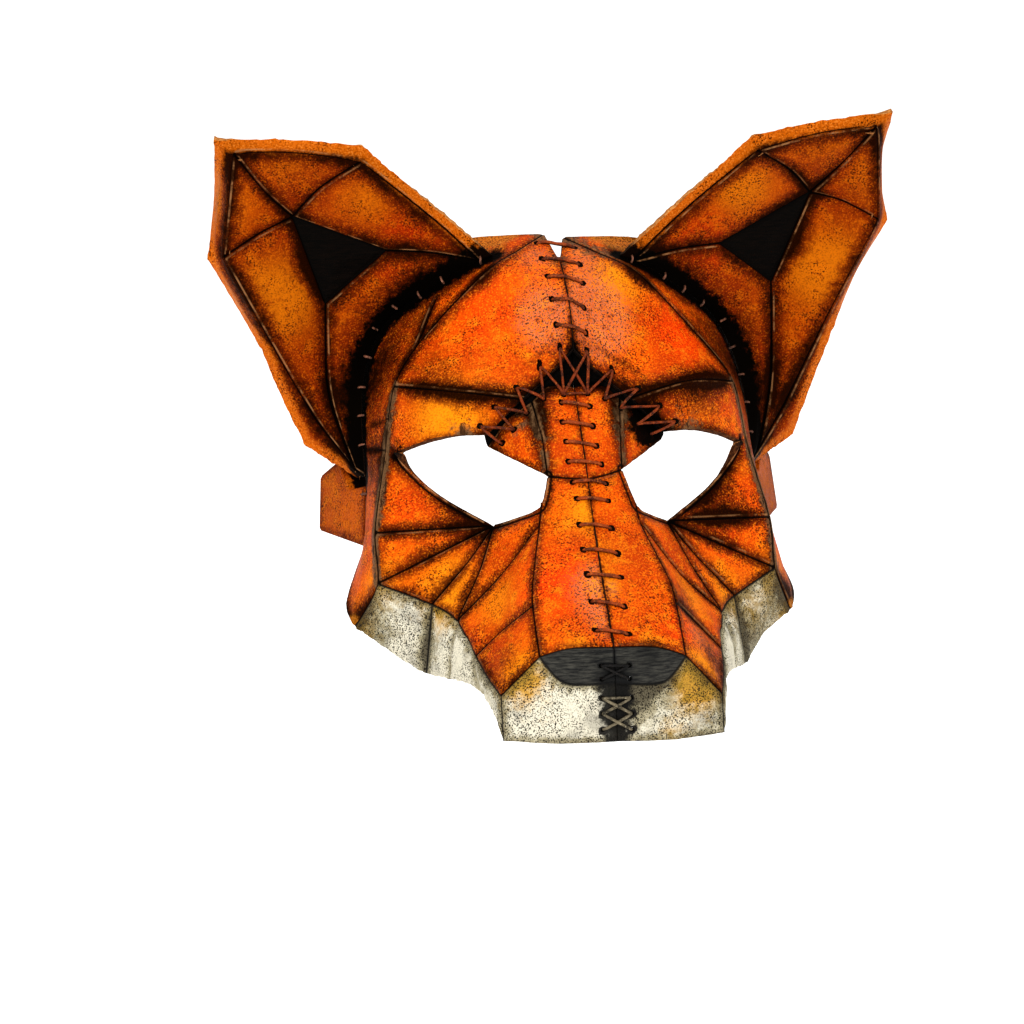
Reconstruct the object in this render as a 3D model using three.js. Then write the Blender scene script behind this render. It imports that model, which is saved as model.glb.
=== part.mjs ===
// Fox half-face mask of moulded leather: two face halves that meet on a laced
// centre seam, two cupped ears standing on the temples, and two strap tabs.
// Millimetres, +Z up, the face looks along -Y. Left and right are as seen
// from the front. The origin is the inner face of the bridge of the nose.
import * as THREE from 'three';

// Leather
const FACE_WALL = 2.4;
const EAR_WALL = 2.2;
const TAB_WALL = 2.4;
const FACET_SWELL = 1.1;
const SWELL_REACH = 7;
const SOFTEN_PASSES = 24;
const MITRE_LIMIT = 1.5;

// Clearances between the pieces
const SEAM_HALF_GAP = 0.35;
const EAR_SEAT_GAP = 0.4;
const TAB_GAP = 0.4;

// Fineness of the facets: each step halves every edge of the fold net
const FACE_STEPS = 2;
const EAR_STEPS = 2;

// The bridge of the nose on the outer face, seen from its inner face
const BRIDGE = new THREE.Vector3(0, -1.8, 1.6);

// Strap tab, measured in its own plane down the seam and back from it
const TAB_FLARE = THREE.MathUtils.degToRad(24);
const TAB_SEAM_TOP = 3;
const TAB_SEAM_END = 23;
const TAB_NOTCH_AT = 11;
const TAB_PEAK_AT = 18.5;
const TAB_PEAK_RISE = 9;
const TAB_REACH = 31;
const TAB_END_TOP = -5;
const TAB_END_LOW = 15;
const TAB_CORNER = 2.5;

const table = (columns, ...rows) => rows.map((row) =>
  Object.fromEntries(columns.split(' ').map((column, i) => [column, row[i] ?? 0])));

// Points of the right half on the outer face of the leather. lift is how much
// higher the left-hand point sits than the mean of the pair; the right-hand
// point sits as much lower, because the mask was cut and moulded by hand.
const CENTRE_SEAM = table('at x y z',
  ['seamTop', 0, 46.5, 70],
  ['seamMid', 0, 29.5, 56.5],
  ['foreApex', 0, 23.6, 41.8],
  ['glabTop', 0, 24.3, 28.9],
  ['glabMid', 0, 11.8, 14.5],
  ['bridge', 0, 0, 0],
  ['noseA', 0, -4.6, -7],
  ['noseB', 0, -9.6, -13.8],
  ['noseC', 0, -23, -29.3],
  ['noseD', 0, -31.5, -38],
  ['noseTip', 0, -43.5, -49.9],
  ['noseUnder', 0, -44.9, -61.7],
  ['chin', 0, -46.5, -81.2]);
const FOREHEAD = table('at x y z lift',
  ['crown', 3.4, 61, 78, 0.7],
  ['foldA', 15.2, 53.3, 72.6, 0.8],
  ['foldB', 28, 46, 65.7, 1.1],
  ['foldC', 49, 51, 43.3, 1.2],
  ['browOuter', 60.4, 43.7, 27.4, 1.7],
  ['foreInner', 17, 33, 56, 0.6],
  ['foreOuter', 33, 35.5, 43, 0.8]);
const BROW_DART = table('at x y z lift',
  ['foreDart', 10.7, 22.7, 32.8, 0.1],
  ['browInner', 21.1, 19.5, 24.6, 0.8],
  ['browMid', 41.2, 26.2, 29, -0.3],
  ['browDart', 30.8, 21.9, 12.6, 0.8],
  ['glabDart', 9.4, 23.6, 29.4, 0.2],
  ['glabSide', 15.6, 21.3, 24.8, 0.1],
  ['glabEye', 30.2, 24, 9, 0],
  ['glabFold', 13.9, 12, 14.2, -0.4],
  ['tuckTop', 0, 28.6, 45.5, 0],
  ['tuckDart', 14.5, 28.4, 37, 0],
  ['tuckBrow', 24.5, 26, 27.5, 0]);
const EYE_RIM = table('at x y z lift',
  ['browLow', 47.2, 26, 12.1, 0.8],
  ['eyeOuter', 61.8, 36, 5.8, 0.9],
  ['eyeUnder', 47.7, 31.5, -8.5, 1.2],
  ['eyeLow', 30.5, 17.5, -17.8, 0.7],
  ['eyeRound', 21.4, 7.5, -13.2, 0.6],
  ['eyeNose', 16.5, -0.6, -8.6, 0.6],
  ['eyeInner', 13.1, 6, 1.3, -0.5]);
const TEMPLE_RIDGE = table('at x y z lift',
  ['ridgeEye', 64.3, 41.5, 5.9, 1.2],
  ['ridgeCheek', 70.2, 31.6, -20.7, 0.7],
  ['cheekCorner', 70.4, 24.7, -37.7, 0.9]);
const CHEEK = table('at x y z lift',
  ['fanInner', 40.4, 12.6, -29.8, 1.4],
  ['fanWhite', 53.3, 13, -44.1, 1.3],
  ['foldMid', 37.2, 7.2, -31.9, 1.2],
  ['muzzleCorner', 46.5, 0.9, -47.6, 1],
  ['furrowMid', 31.1, -0.6, -32.7, 1.2],
  ['creaseMid', 33.4, -17.1, -47.9, 0.6],
  ['creaseEnd', 42.5, -15.5, -57.1, 1.2]);
const NOSE = table('at x y z lift',
  ['noseEdgeB', 17.7, -2.6, -15.1, 0.7],
  ['noseEdgeC', 23.1, -20.4, -29.6, 1],
  ['noseEdgeD', 24.6, -27.4, -38.3, 0.8],
  ['noseCorner', 24.8, -41.6, -53.4, 1.2],
  ['noseBase', 16.5, -42.6, -62.2, 0.8]);
const MUZZLE = table('at x y z lift',
  ['muzzleTop', 37.7, -38.3, -67.1, 1.8],
  ['muzzleLow', 37.7, -40.6, -80.8, 0.9],
  ['jawTip', 77.8, 33.5, -54.4, 1.2],
  ['jawEdge', 66, 24.2, -61.2, 0],
  ['pleatLow', 56.4, 10.6, -67.5, 1.3],
  ['lipBack', 45.2, -15.4, -65.8, 0.5],
  ['lipFront', 39.8, -33.5, -71.5, 0.4]);
const REAR_RIM = table('at x y z lift',
  ['crownBack', 33, 70, 75.8, 0.9],
  ['rimTop', 50, 78, 64, 1],
  ['rimTemple', 66, 83, 44, 1],
  ['rimBrow', 72, 81, 24, 1],
  ['rimTab', 69.4, 58.5, -6, 0],
  ['rimTabLow', 71.2, 52.5, -28, 0],
  ['jawBack', 79.7, 40, -46.5, 1.2]);

// Folds and cut edges, each a smooth line through its points
const FACE_LINES = [
  'crown foldA foldB foldC browOuter ridgeEye ridgeCheek cheekCorner jawTip',
  'crown crownBack rimTop rimTemple rimBrow rimTab', 'rimTab rimTabLow', 'rimTabLow jawBack jawTip',
  'seamTop seamMid foreApex', 'crown seamTop',
  'foreApex foreDart browInner browDart', 'browOuter browMid browInner',
  'glabTop glabDart glabSide glabEye', 'glabTop tuckTop', 'tuckTop tuckDart tuckBrow glabEye',
  'glabSide glabFold eyeInner',
  'glabTop glabMid bridge noseA noseB noseC noseD noseTip', 'noseTip noseUnder chin',
  'browDart browLow eyeOuter', 'eyeOuter eyeUnder eyeLow', 'eyeLow eyeRound eyeNose eyeInner', 'eyeInner glabEye',
  'eyeInner bridge', 'eyeNose noseEdgeB noseEdgeC noseEdgeD noseCorner',
  'eyeLow ridgeCheek', 'eyeLow cheekCorner', 'eyeLow fanInner fanWhite', 'eyeLow foldMid muzzleCorner',
  'noseEdgeB furrowMid muzzleCorner', 'noseEdgeD creaseMid creaseEnd',
  'cheekCorner fanWhite muzzleCorner creaseEnd muzzleTop',
  'noseTip noseCorner', 'noseCorner muzzleTop', 'noseCorner noseBase noseUnder',
  'muzzleTop muzzleLow', 'muzzleLow chin',
  'jawTip jawEdge pleatLow lipBack lipFront muzzleLow', 'fanWhite pleatLow'];

// How far the middle of a line stands off its chord
const FACE_BOWS = table('from to x y z',
  ['noseTip', 'noseCorner', 2, -1, 1.6],
  ['muzzleLow', 'chin', 0, 0, -1],
  ['eyeInner', 'bridge', 0, -1, 0],
  ['muzzleTop', 'creaseEnd', 0.6, -0.6, 0]);

// Facets between the folds, seen from outside in anticlockwise order
const FACE_FACETS = [
  'crown seamTop foldA', 'seamTop seamMid foreInner foldA', 'foldA foreInner foldB',
  'seamMid foreApex foreDart foreInner', 'foreInner foreDart foreOuter foldB', 'foreDart browInner foreOuter',
  'foldB foreOuter foldC', 'foreOuter browInner browMid foldC', 'foldC browMid browOuter',
  'browInner browDart browLow browMid', 'browMid browLow eyeOuter browOuter', 'browOuter eyeOuter ridgeEye',
  'glabTop glabMid glabFold glabDart', 'glabDart glabFold glabSide', 'glabMid bridge eyeInner glabFold',
  'glabSide glabFold eyeInner glabEye', 'glabTop glabDart tuckDart tuckTop',
  'glabDart glabSide tuckBrow tuckDart', 'glabSide glabEye tuckBrow',
  'bridge noseA eyeNose eyeInner', 'noseA noseB noseEdgeB eyeNose', 'noseB noseC noseEdgeC noseEdgeB',
  'noseC noseD noseEdgeD noseEdgeC', 'noseD noseTip noseCorner noseEdgeD',
  'eyeOuter eyeUnder ridgeCheek ridgeEye', 'eyeUnder eyeLow ridgeCheek', 'eyeLow cheekCorner ridgeCheek',
  'eyeLow fanInner fanWhite cheekCorner', 'eyeLow foldMid fanInner', 'fanInner foldMid muzzleCorner fanWhite',
  'eyeRound furrowMid foldMid eyeLow', 'eyeNose noseEdgeB furrowMid eyeRound', 'foldMid furrowMid muzzleCorner',
  'noseEdgeB noseEdgeC creaseMid furrowMid', 'noseEdgeC noseEdgeD creaseMid', 'furrowMid creaseMid creaseEnd muzzleCorner',
  'noseEdgeD noseCorner muzzleTop creaseMid', 'creaseMid muzzleTop creaseEnd',
  'noseTip noseUnder noseBase noseCorner', 'noseCorner noseBase muzzleLow muzzleTop', 'noseBase noseUnder chin muzzleLow',
  'cheekCorner jawEdge jawTip', 'cheekCorner fanWhite pleatLow jawEdge', 'fanWhite muzzleCorner lipBack pleatLow',
  'muzzleCorner creaseEnd lipBack', 'creaseEnd muzzleTop lipFront lipBack', 'muzzleTop muzzleLow lipFront',
  'crown foldA crownBack', 'foldA foldB rimTop crownBack', 'foldB foldC rimTemple rimTop',
  'foldC browOuter rimBrow rimTemple', 'browOuter ridgeEye rimTab rimBrow', 'ridgeEye ridgeCheek rimTabLow rimTab',
  'ridgeCheek cheekCorner jawBack rimTabLow', 'cheekCorner jawTip jawBack'];

// Ear: cut edge, turned rim and hollow
const EAR_EDGE = table('at x y z lift',
  ['tip', 119.6, 43.4, 117.5, -0.9],
  ['top', 68.3, 43, 112.4, 0.5],
  ['slope', 44.5, 49.5, 90.4, 0.6],
  ['baseEdge', 22.6, 54.3, 70.9, 0.7],
  ['outer', 121.8, 62.6, 76.5, -2.2],
  ['lowMid', 103.6, 70.5, 41, -0.2],
  ['knee', 88.6, 75.5, 2.9, 2],
  ['bottom', 71.6, 66.5, -6.7, 0.9]);
const EAR_RIM = table('at x y z lift',
  ['rimTip', 113.4, 42.3, 113.2, -1],
  ['rimTop', 69.3, 41, 107.2, 0.4],
  ['rimSlope', 48.4, 50.8, 89.1, 0.8],
  ['rimBase', 28.6, 54.1, 71.6, 0.9],
  ['rimOuter', 117, 56, 77.1, -2.3],
  ['rimLowMid', 100.2, 66.5, 43.7, -1.1],
  ['rimKnee', 84.7, 71.5, 13.5, 1],
  ['rimBottom', 72.6, 62.5, -2.7, 0.2]);
const EAR_HOLLOW = table('at x y z lift',
  ['hub', 92, 57.5, 89, -1],
  ['tipFold', 102.7, 48, 99.8, -1.6],
  ['topFold', 83, 49.5, 98.6, -0.3],
  ['outerFold', 103.8, 57.3, 84.6, -2],
  ['triInner', 59.7, 60, 73.8, 1],
  ['triLow', 80.3, 70.1, 56.9, -0.8],
  ['hollowMid', 80.3, 72.4, 28, 0.8],
  ['hollowLow', 77.5, 69.5, 12, 1.4]);
const EAR_SEAT = table('at x y z lift',
  ['seatTop', 44.8, 63, 60.2, 1],
  ['seatTemple', 61.5, 71, 49, 1],
  ['seatBrow', 68.8, 70, 29.5, 1],
  ['seatEye', 69, 63.5, 10, 1],
  ['seatLow', 69.4, 58, -5, 0.5]);
const EAR_LINES = [
  'tip top', 'top slope baseEdge', 'tip outer', 'outer lowMid knee', 'knee bottom', 'bottom seatLow',
  'baseEdge rimBase seatTop seatTemple seatBrow seatEye seatLow',
  'rimTip rimTop', 'rimTop rimSlope rimBase', 'rimTip rimOuter', 'rimOuter rimLowMid rimKnee rimBottom', 'rimBottom seatLow',
  'rimTip tipFold hub', 'rimTop topFold hub', 'hub outerFold rimOuter',
  'hub triInner', 'hub triLow', 'triInner triLow', 'triInner rimBase', 'triLow hollowMid hollowLow rimBottom'];
const EAR_BOWS = table('from to x y z',
  ['tip', 'top', 0, 0, 1.2],
  ['rimTip', 'rimTop', 0, 0, 1.4],
  ['tip', 'outer', -1.9, 9, 0],
  ['outer', 'lowMid', 0, 5.5, 0],
  ['lowMid', 'knee', 0.8, 2, 0]);
const EAR_FACETS = [
  'top rimTop rimTip tip', 'slope rimSlope rimTop top', 'baseEdge rimBase rimSlope slope',
  'rimTip rimOuter outer tip', 'rimOuter rimLowMid lowMid outer', 'rimLowMid rimKnee knee lowMid',
  'rimKnee rimBottom bottom knee', 'rimBottom seatLow bottom',
  'tipFold outerFold rimOuter rimTip', 'hub outerFold tipFold', 'rimTop topFold tipFold rimTip', 'topFold hub tipFold',
  'rimSlope hub topFold rimTop', 'rimSlope triInner hub', 'rimBase triInner rimSlope',
  'triInner triLow hub',
  'outerFold triLow rimLowMid rimOuter', 'hub triLow outerFold', 'triLow hollowMid rimKnee rimLowMid',
  'hollowMid hollowLow rimBottom rimKnee',
  'seatTop triInner rimBase', 'seatTop seatTemple triLow triInner', 'seatTemple seatBrow hollowMid triLow',
  'seatBrow seatEye hollowLow hollowMid', 'seatEye seatLow rimBottom hollowLow'];

// A fold net of one side, with its points as vectors and its lines as chains
function foldNet(points, lines, bows, facets, side) {
  const index = new Map(points.map((p, i) => [p.at, i]));
  const chain = (names) => names.split(' ').map((name) => {
    if (!index.has(name)) throw new Error(`no point ${name}`);
    return index.get(name);
  });
  return {
    index,
    verts: points.map((p) => new THREE.Vector3(side * p.x, p.y, p.z - side * (p.lift ?? 0))),
    lines: lines.map(chain),
    bows: bows.map((bow) => ({
      ends: chain(`${bow.from} ${bow.to}`),
      by: new THREE.Vector3(side * bow.x, bow.y, bow.z),
    })),
    faces: facets.map((names) => (side > 0 ? chain(names) : chain(names).reverse())),
  };
}

// Halve every edge; a point halved into a fold or cut edge lies on the cubic
// through the four points of that line around it
function refine(net) {
  const { verts, lines, bows, faces } = net;
  const middles = new Map();
  const key = (a, b) => (a < b ? `${a},${b}` : `${b},${a}`);
  const middle = (a, b) => {
    if (!middles.has(key(a, b))) {
      middles.set(key(a, b), verts.push(verts[a].clone().add(verts[b]).multiplyScalar(0.5)) - 1);
    }
    return middles.get(key(a, b));
  };
  const finer = lines.map((line) => {
    const out = [line[0]];
    for (let i = 0; i + 1 < line.length; i++) {
      const b = verts[line[i]];
      const c = verts[line[i + 1]];
      const a = i > 0 ? verts[line[i - 1]] : b.clone().multiplyScalar(2).sub(c);
      const d = i + 2 < line.length ? verts[line[i + 2]] : c.clone().multiplyScalar(2).sub(b);
      const m = middle(line[i], line[i + 1]);
      verts[m].copy(b).add(c).multiplyScalar(9).sub(a).sub(d).divideScalar(16);
      out.push(m, line[i + 1]);
    }
    return out;
  });
  bows.forEach(({ ends, by }) => verts[middle(...ends)].add(by));
  const split = faces.flatMap((face) => {
    const mids = face.map((v, i) => middle(v, face[(i + 1) % face.length]));
    if (face.length === 3) {
      return [...face.map((v, i) => [v, mids[i], mids[(i + 2) % 3]]), mids];
    }
    const heart = new THREE.Vector3();
    mids.forEach((m) => heart.addScaledVector(verts[m], 1 / mids.length));
    const centre = verts.push(heart) - 1;
    return face.map((v, i) => [v, mids[i], centre, mids[(i + 3) % 4]]);
  });
  return { index: net.index, verts, lines: finer, bows: [], faces: split };
}

// Edges used by one facet only, in the direction of that facet
function borderEdges(faces) {
  const edges = new Map();
  faces.forEach((face) => face.forEach((a, i) => {
    const b = face[(i + 1) % face.length];
    const key = a < b ? `${a},${b}` : `${b},${a}`;
    if (edges.has(key)) edges.set(key, null);
    else edges.set(key, [a, b]);
  }));
  return [...edges.values()].filter(Boolean);
}

// Leather drawn taut between its folds: points off the folds settle to the
// mean of their neighbours, and then swell a little out of each facet
function settle(net, swell) {
  const { verts, lines, faces } = net;
  const held = new Set(lines.flat());
  borderEdges(faces).flat().forEach((v) => held.add(v));
  const around = verts.map(() => new Set());
  faces.forEach((face) => face.forEach((a, i) => {
    const b = face[(i + 1) % face.length];
    around[a].add(b);
    around[b].add(a);
  }));
  const free = verts.map((_, i) => i).filter((i) => !held.has(i));
  for (let pass = 0; pass < SOFTEN_PASSES; pass++) {
    for (const i of free) {
      const mean = new THREE.Vector3();
      around[i].forEach((j) => mean.addScaledVector(verts[j], 1 / around[i].size));
      verts[i].copy(mean);
    }
  }
  const normals = vertexNormals(net);
  const fixed = [...held].map((i) => verts[i].clone());
  const rise = free.map((i) => {
    const off = Math.min(...fixed.map((p) => p.distanceTo(verts[i])));
    return swell * (1 - Math.exp(-((off / SWELL_REACH) ** 2)));
  });
  free.forEach((i, n) => verts[i].addScaledVector(normals[i], rise[n]));
}

function faceNormal(verts, face) {
  const normal = new THREE.Vector3();
  for (let i = 1; i + 1 < face.length; i++) {
    const a = verts[face[i]].clone().sub(verts[face[0]]);
    normal.add(a.cross(verts[face[i + 1]].clone().sub(verts[face[0]])));
  }
  return normal;
}

function vertexNormals({ verts, faces }) {
  const normals = verts.map(() => new THREE.Vector3());
  faces.forEach((face) => {
    const normal = faceNormal(verts, face).normalize();
    face.forEach((v) => normals[v].add(normal));
  });
  return normals.map((n) => n.normalize());
}

// Inner face of a wall, mitred so that the wall keeps its thickness at folds
function innerFace(net, wall) {
  const normals = vertexNormals(net);
  const lean = net.verts.map(() => 1);
  net.faces.forEach((face) => {
    const normal = faceNormal(net.verts, face).normalize();
    face.forEach((v) => { lean[v] = Math.min(lean[v], normal.dot(normals[v])); });
  });
  return net.verts.map((v, i) =>
    v.clone().addScaledVector(normals[i], -wall / Math.max(lean[i], 1 / MITRE_LIMIT)));
}

// Closed wall between an outer face, its inner face and the cut edges
function wallGeometry(net, inner) {
  const count = net.verts.length;
  const position = [...net.verts, ...inner].flatMap((v) => v.toArray());
  const triangles = [];
  const add = (...corners) => {
    for (let i = 1; i + 1 < corners.length; i++) triangles.push(corners[0], corners[i], corners[i + 1]);
  };
  net.faces.forEach((face) => {
    add(...face);
    add(...[...face].reverse().map((v) => v + count));
  });
  borderEdges(net.faces).forEach(([a, b]) => add(b, a, a + count, b + count));
  const geometry = new THREE.BufferGeometry();
  geometry.setAttribute('position', new THREE.Float32BufferAttribute(position, 3));
  geometry.setIndex(triangles);
  geometry.computeVertexNormals();
  return geometry;
}

// One half of the face, with the seam points drawn back from the centre plane
function faceHalf(side) {
  const points = [...CENTRE_SEAM, ...FOREHEAD, ...BROW_DART, ...EYE_RIM, ...TEMPLE_RIDGE,
    ...CHEEK, ...NOSE, ...MUZZLE, ...REAR_RIM];
  let net = foldNet(points, FACE_LINES, FACE_BOWS, FACE_FACETS, side);
  for (let step = 0; step < FACE_STEPS; step++) net = refine(net);
  settle(net, FACET_SWELL);
  const inner = innerFace(net, FACE_WALL);
  [...net.verts, ...inner].forEach((v) => { v.x = side * Math.max(side * v.x, SEAM_HALF_GAP); });
  return { net, inner };
}

// Seats on a piece's outer face. onto moves a point to the nearest place there,
// raised by the gap; clear does so only for a point that has sunk below the gap
function seatOn(net, gap) {
  const triangles = net.faces.flatMap((face) =>
    face.slice(1, -1).map((_, i) =>
      new THREE.Triangle(net.verts[face[0]], net.verts[face[i + 1]], net.verts[face[i + 2]])));
  const nearest = (point) => {
    const near = new THREE.Vector3();
    const spot = new THREE.Vector3();
    const normal = new THREE.Vector3();
    let least = Infinity;
    triangles.forEach((triangle) => {
      triangle.closestPointToPoint(point, near);
      const off = near.distanceTo(point);
      if (off >= least) return;
      least = off;
      spot.copy(near);
      triangle.getNormal(normal);
    });
    return { spot, normal, least };
  };
  const onto = (point) => {
    const { spot, normal } = nearest(point);
    point.copy(spot).addScaledVector(normal, gap);
  };
  const clear = (point) => {
    const { spot, normal, least } = nearest(point);
    const height = point.clone().sub(spot).dot(normal);
    const beside = Math.sqrt(Math.max(least ** 2 - height ** 2, 0));
    if (height < gap && beside < gap) point.copy(spot).addScaledVector(normal, gap);
  };
  return { onto, clear };
}

// One ear, its base edge seated all along on the temple of its half
function ear(side, half) {
  const points = [...EAR_EDGE, ...EAR_RIM, ...EAR_HOLLOW, ...EAR_SEAT];
  let net = foldNet(points, EAR_LINES, EAR_BOWS, EAR_FACETS, side);
  const base = EAR_LINES.findIndex((line) => line.startsWith('baseEdge'));
  for (let step = 0; step < EAR_STEPS; step++) net = refine(net);
  const seat = seatOn(half.net, EAR_SEAT_GAP);
  net.lines[base].forEach((i) => seat.onto(net.verts[i]));
  settle(net, FACET_SWELL);
  const inner = innerFace(net, EAR_WALL);
  net.lines[base].forEach((i) => seat.onto(inner[i]));
  inner.forEach(seat.clear);
  return { net, inner };
}

// One strap tab: a flat leather plate butted on the rear rim of its half
function strapTab(side, half) {
  const rim = (name) => half.net.verts[half.net.index.get(name)];
  const down = rim('rimTabLow').clone().sub(rim('rimTab')).normalize();
  const back = new THREE.Vector3(side * Math.sin(TAB_FLARE), Math.cos(TAB_FLARE), 0);
  back.addScaledVector(down, -back.dot(down)).normalize();
  const across = new THREE.Vector3().crossVectors(down, back);
  const outline = new THREE.Shape();
  outline.moveTo(TAB_SEAM_TOP, TAB_GAP);
  outline.lineTo(TAB_SEAM_END, TAB_GAP);
  outline.lineTo(TAB_END_LOW, TAB_REACH - TAB_CORNER);
  outline.lineTo(TAB_END_LOW - TAB_CORNER, TAB_REACH);
  outline.lineTo(TAB_END_TOP + TAB_CORNER, TAB_REACH);
  outline.lineTo(TAB_END_TOP, TAB_REACH - TAB_CORNER);
  outline.lineTo(-TAB_PEAK_RISE, TAB_PEAK_AT);
  outline.lineTo(TAB_SEAM_TOP, TAB_NOTCH_AT);
  const geometry = new THREE.ExtrudeGeometry(outline, { depth: TAB_WALL, bevelEnabled: false });
  if (side > 0) geometry.translate(0, 0, -TAB_WALL);
  const place = new THREE.Matrix4().makeBasis(down, back, across).setPosition(rim('rimTab'));
  return geometry.applyMatrix4(place);
}

const leather = (color, roughness) => new THREE.MeshStandardMaterial({ color, roughness, metalness: 0 });

const pieces = new THREE.Group();
pieces.position.copy(BRIDGE);
[['left', -1], ['right', 1]].forEach(([name, side]) => {
  const half = faceHalf(side);
  const earWall = ear(side, half);
  const add = (piece, geometry, material) => {
    const mesh = new THREE.Mesh(geometry, material);
    mesh.name = `${piece}_${name}`;
    pieces.add(mesh);
  };
  add('face_half', wallGeometry(half.net, half.inner), leather(0xd9601c, 0.5));
  add('ear', wallGeometry(earWall.net, earWall.inner), leather(0xd0641c, 0.55));
  add('strap_tab', strapTab(side, half), leather(0xb8521a, 0.55));
});

const mask = new THREE.Group();
mask.name = 'fox_mask';
mask.add(pieces);
export default mask;
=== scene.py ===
"""Looks of a leather fox mask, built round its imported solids.

Two moulded face halves are laced on the centre seam, two cupped ears are laced
to the temples, and two strap tabs sit behind the eyes. Lengths in the tables
are millimetres; the meshes are in metres in the frame of the solids.
"""

import logging
import math
from dataclasses import dataclass, field
from enum import Enum
from typing import Any, Iterable, Optional

import bmesh
import bpy
import numpy as np
from mathutils import Matrix, Vector, noise
from mathutils.bvhtree import BVHTree
from mathutils.geometry import intersect_point_line
from mathutils.kdtree import KDTree


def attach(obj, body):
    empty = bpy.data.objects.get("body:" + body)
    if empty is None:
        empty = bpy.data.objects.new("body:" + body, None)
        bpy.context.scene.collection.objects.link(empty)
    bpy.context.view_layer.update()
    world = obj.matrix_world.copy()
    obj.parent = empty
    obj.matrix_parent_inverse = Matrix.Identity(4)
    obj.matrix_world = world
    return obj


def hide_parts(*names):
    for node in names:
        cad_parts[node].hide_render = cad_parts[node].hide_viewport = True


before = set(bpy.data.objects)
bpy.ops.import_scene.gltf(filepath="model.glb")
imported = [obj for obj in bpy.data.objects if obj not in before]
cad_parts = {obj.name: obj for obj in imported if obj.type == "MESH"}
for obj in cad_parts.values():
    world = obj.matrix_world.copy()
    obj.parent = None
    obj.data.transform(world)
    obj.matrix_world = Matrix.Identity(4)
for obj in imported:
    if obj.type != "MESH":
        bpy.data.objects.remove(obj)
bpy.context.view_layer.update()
LOG = logging.getLogger("fox_mask")

# Lengths are millimetres. KNOT_RADII are shares of a lace's radius, and each of WAVER_WAVES is the
# number of waves in a millimetre and their weight.
MM = 0.001
BRIDGE = Vector((0.0, -1.8, 1.6))
FACE_WALL = 2.4
EAR_WALL = 2.2
TAB_WALL = 2.4
FACET_SWELL = 1.1
SWELL_REACH = 7.0
MITRE_LIMIT = 1.5
SEAM_HALF_GAP = 0.01
EAR_SEAT_GAP = 0.25
SEAT_SOOT = 1.3
SEAT_SOOT_REACH = 4.2
SEAT_BURN_REACH = 8.0
EDGE_ROUND = 0.28
EDGE_SHARE = 0.45
SIDE_BLEND = 0.3
NO_FOLD = 99.0
WAVER_REACH = 3.0
WAVER_LEAST = 0.01
WAVER_WAVES = ((0.35, 1.0), (1.1, 0.7))
WAVER_SEED = 7
PAINT_TURN = 3.0
PAINT_FROM = 8.0
BEAD_AT = 1.0
# Black given to the rim of each lace hole: painted shade inside the hole.
HOLE_PAINTED_SHADE = 1.3
KNOT_RADII = (1.2, 1.9, 1.0)
KNOT_DEPTHS = (1.1, 0.6, 0.1)
REFINE_STEPS = 5
RELAX_PASSES = (10, 48, 20, 10, 5)
UNTANGLE_PASSES = 24
CROSSED_LEAN = 0.3


class Side(Enum):
    """Which half of the mask, as seen from the front."""

    LEFT = -1
    RIGHT = 1

    @property
    def word(self) -> str:
        """The side's name in the names of the solids."""
        return self.name.lower()


class Zone(Enum):
    """Finish of a facet; the value is its place in the sheet's material list."""

    DYED = 0
    CREAM = 1
    BLACK = 2
    FLESH = 3
    EDGE = 4
    SOOTED = 5


class Tone(Enum):
    """Work of the hand on a patch of leather, kept as a mesh attribute of that name. The pale rubbed tone is
    partly a painted sheen, and the black tone partly painted shade.
    """

    BURN = "burn"
    SOOT = "soot"
    WEAR = "wear"
    GOLD = "gold"
    EMBER = "ember"
    TAN = "tan"
    SMOKE = "smoke"
    CRINKLE = "crinkle"


@dataclass(frozen=True)
class LineFinish:
    """How a line of the leather was worked.

    depth is that of the tooled groove, width its half width, inset how far in
    from the line it runs, bead the rise of the leather along its one side and
    shine how far that rise is painted lighter, partly as leather rubbed bare and
    partly as a painted highlight on its crest, burn the darkening within reach of
    the line, soot the black within soot_reach, tan the bare hide within
    tan_reach, smoke the grey creased rubbing within smoke_reach, and ragged the
    waver of a hand-cut edge. They are millimetres, except shine, burn, soot,
    tan and smoke, which are shares.
    """

    depth: float = 0.0
    width: float = 0.6
    inset: float = 0.0
    bead: float = 0.0
    shine: float = 0.0
    burn: float = 0.0
    reach: float = 1.0
    soot: float = 0.0
    soot_reach: float = 1.0
    tan: float = 0.0
    tan_reach: float = 1.0
    smoke: float = 0.0
    smoke_reach: float = 1.0
    ragged: float = 0.0


class Line(Enum):
    """Kinds of line on the leather."""

    FOLD = LineFinish(depth=0.55, bead=0.25, shine=0.45, burn=0.7, reach=3.4)
    FINE = LineFinish(depth=0.5, bead=0.2, shine=0.3, burn=0.6, reach=3.0)
    SHADED = LineFinish(depth=0.6, bead=0.28, shine=0.6, burn=0.85, reach=5.2)
    MARK = LineFinish(depth=0.45, width=0.5, burn=0.4, reach=1.4)
    RUBBED = LineFinish(smoke=1.0, smoke_reach=2.6)
    PLEAT = LineFinish(depth=0.9, width=1.8, burn=0.4, reach=2.2)
    TUCK = LineFinish(depth=0.9, width=0.8, burn=0.8, reach=2.6)
    WRUNG = LineFinish(burn=0.9, reach=4.0, smoke=0.55, smoke_reach=3.2)
    HELD = LineFinish()
    CUT = LineFinish(burn=0.6, reach=2.4, ragged=0.12)
    EYE = LineFinish(depth=0.35, inset=1.6, bead=0.15, shine=0.7, burn=0.7, reach=4.0, ragged=0.1)
    SEAM = LineFinish(burn=0.5, reach=1.8, soot=0.7, soot_reach=0.4)
    VALLEY = LineFinish(burn=1.05, reach=12.0, soot=1.35, soot_reach=6.5)
    RAGGED = LineFinish(tan=1.0, tan_reach=4.6, ragged=0.5)


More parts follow.
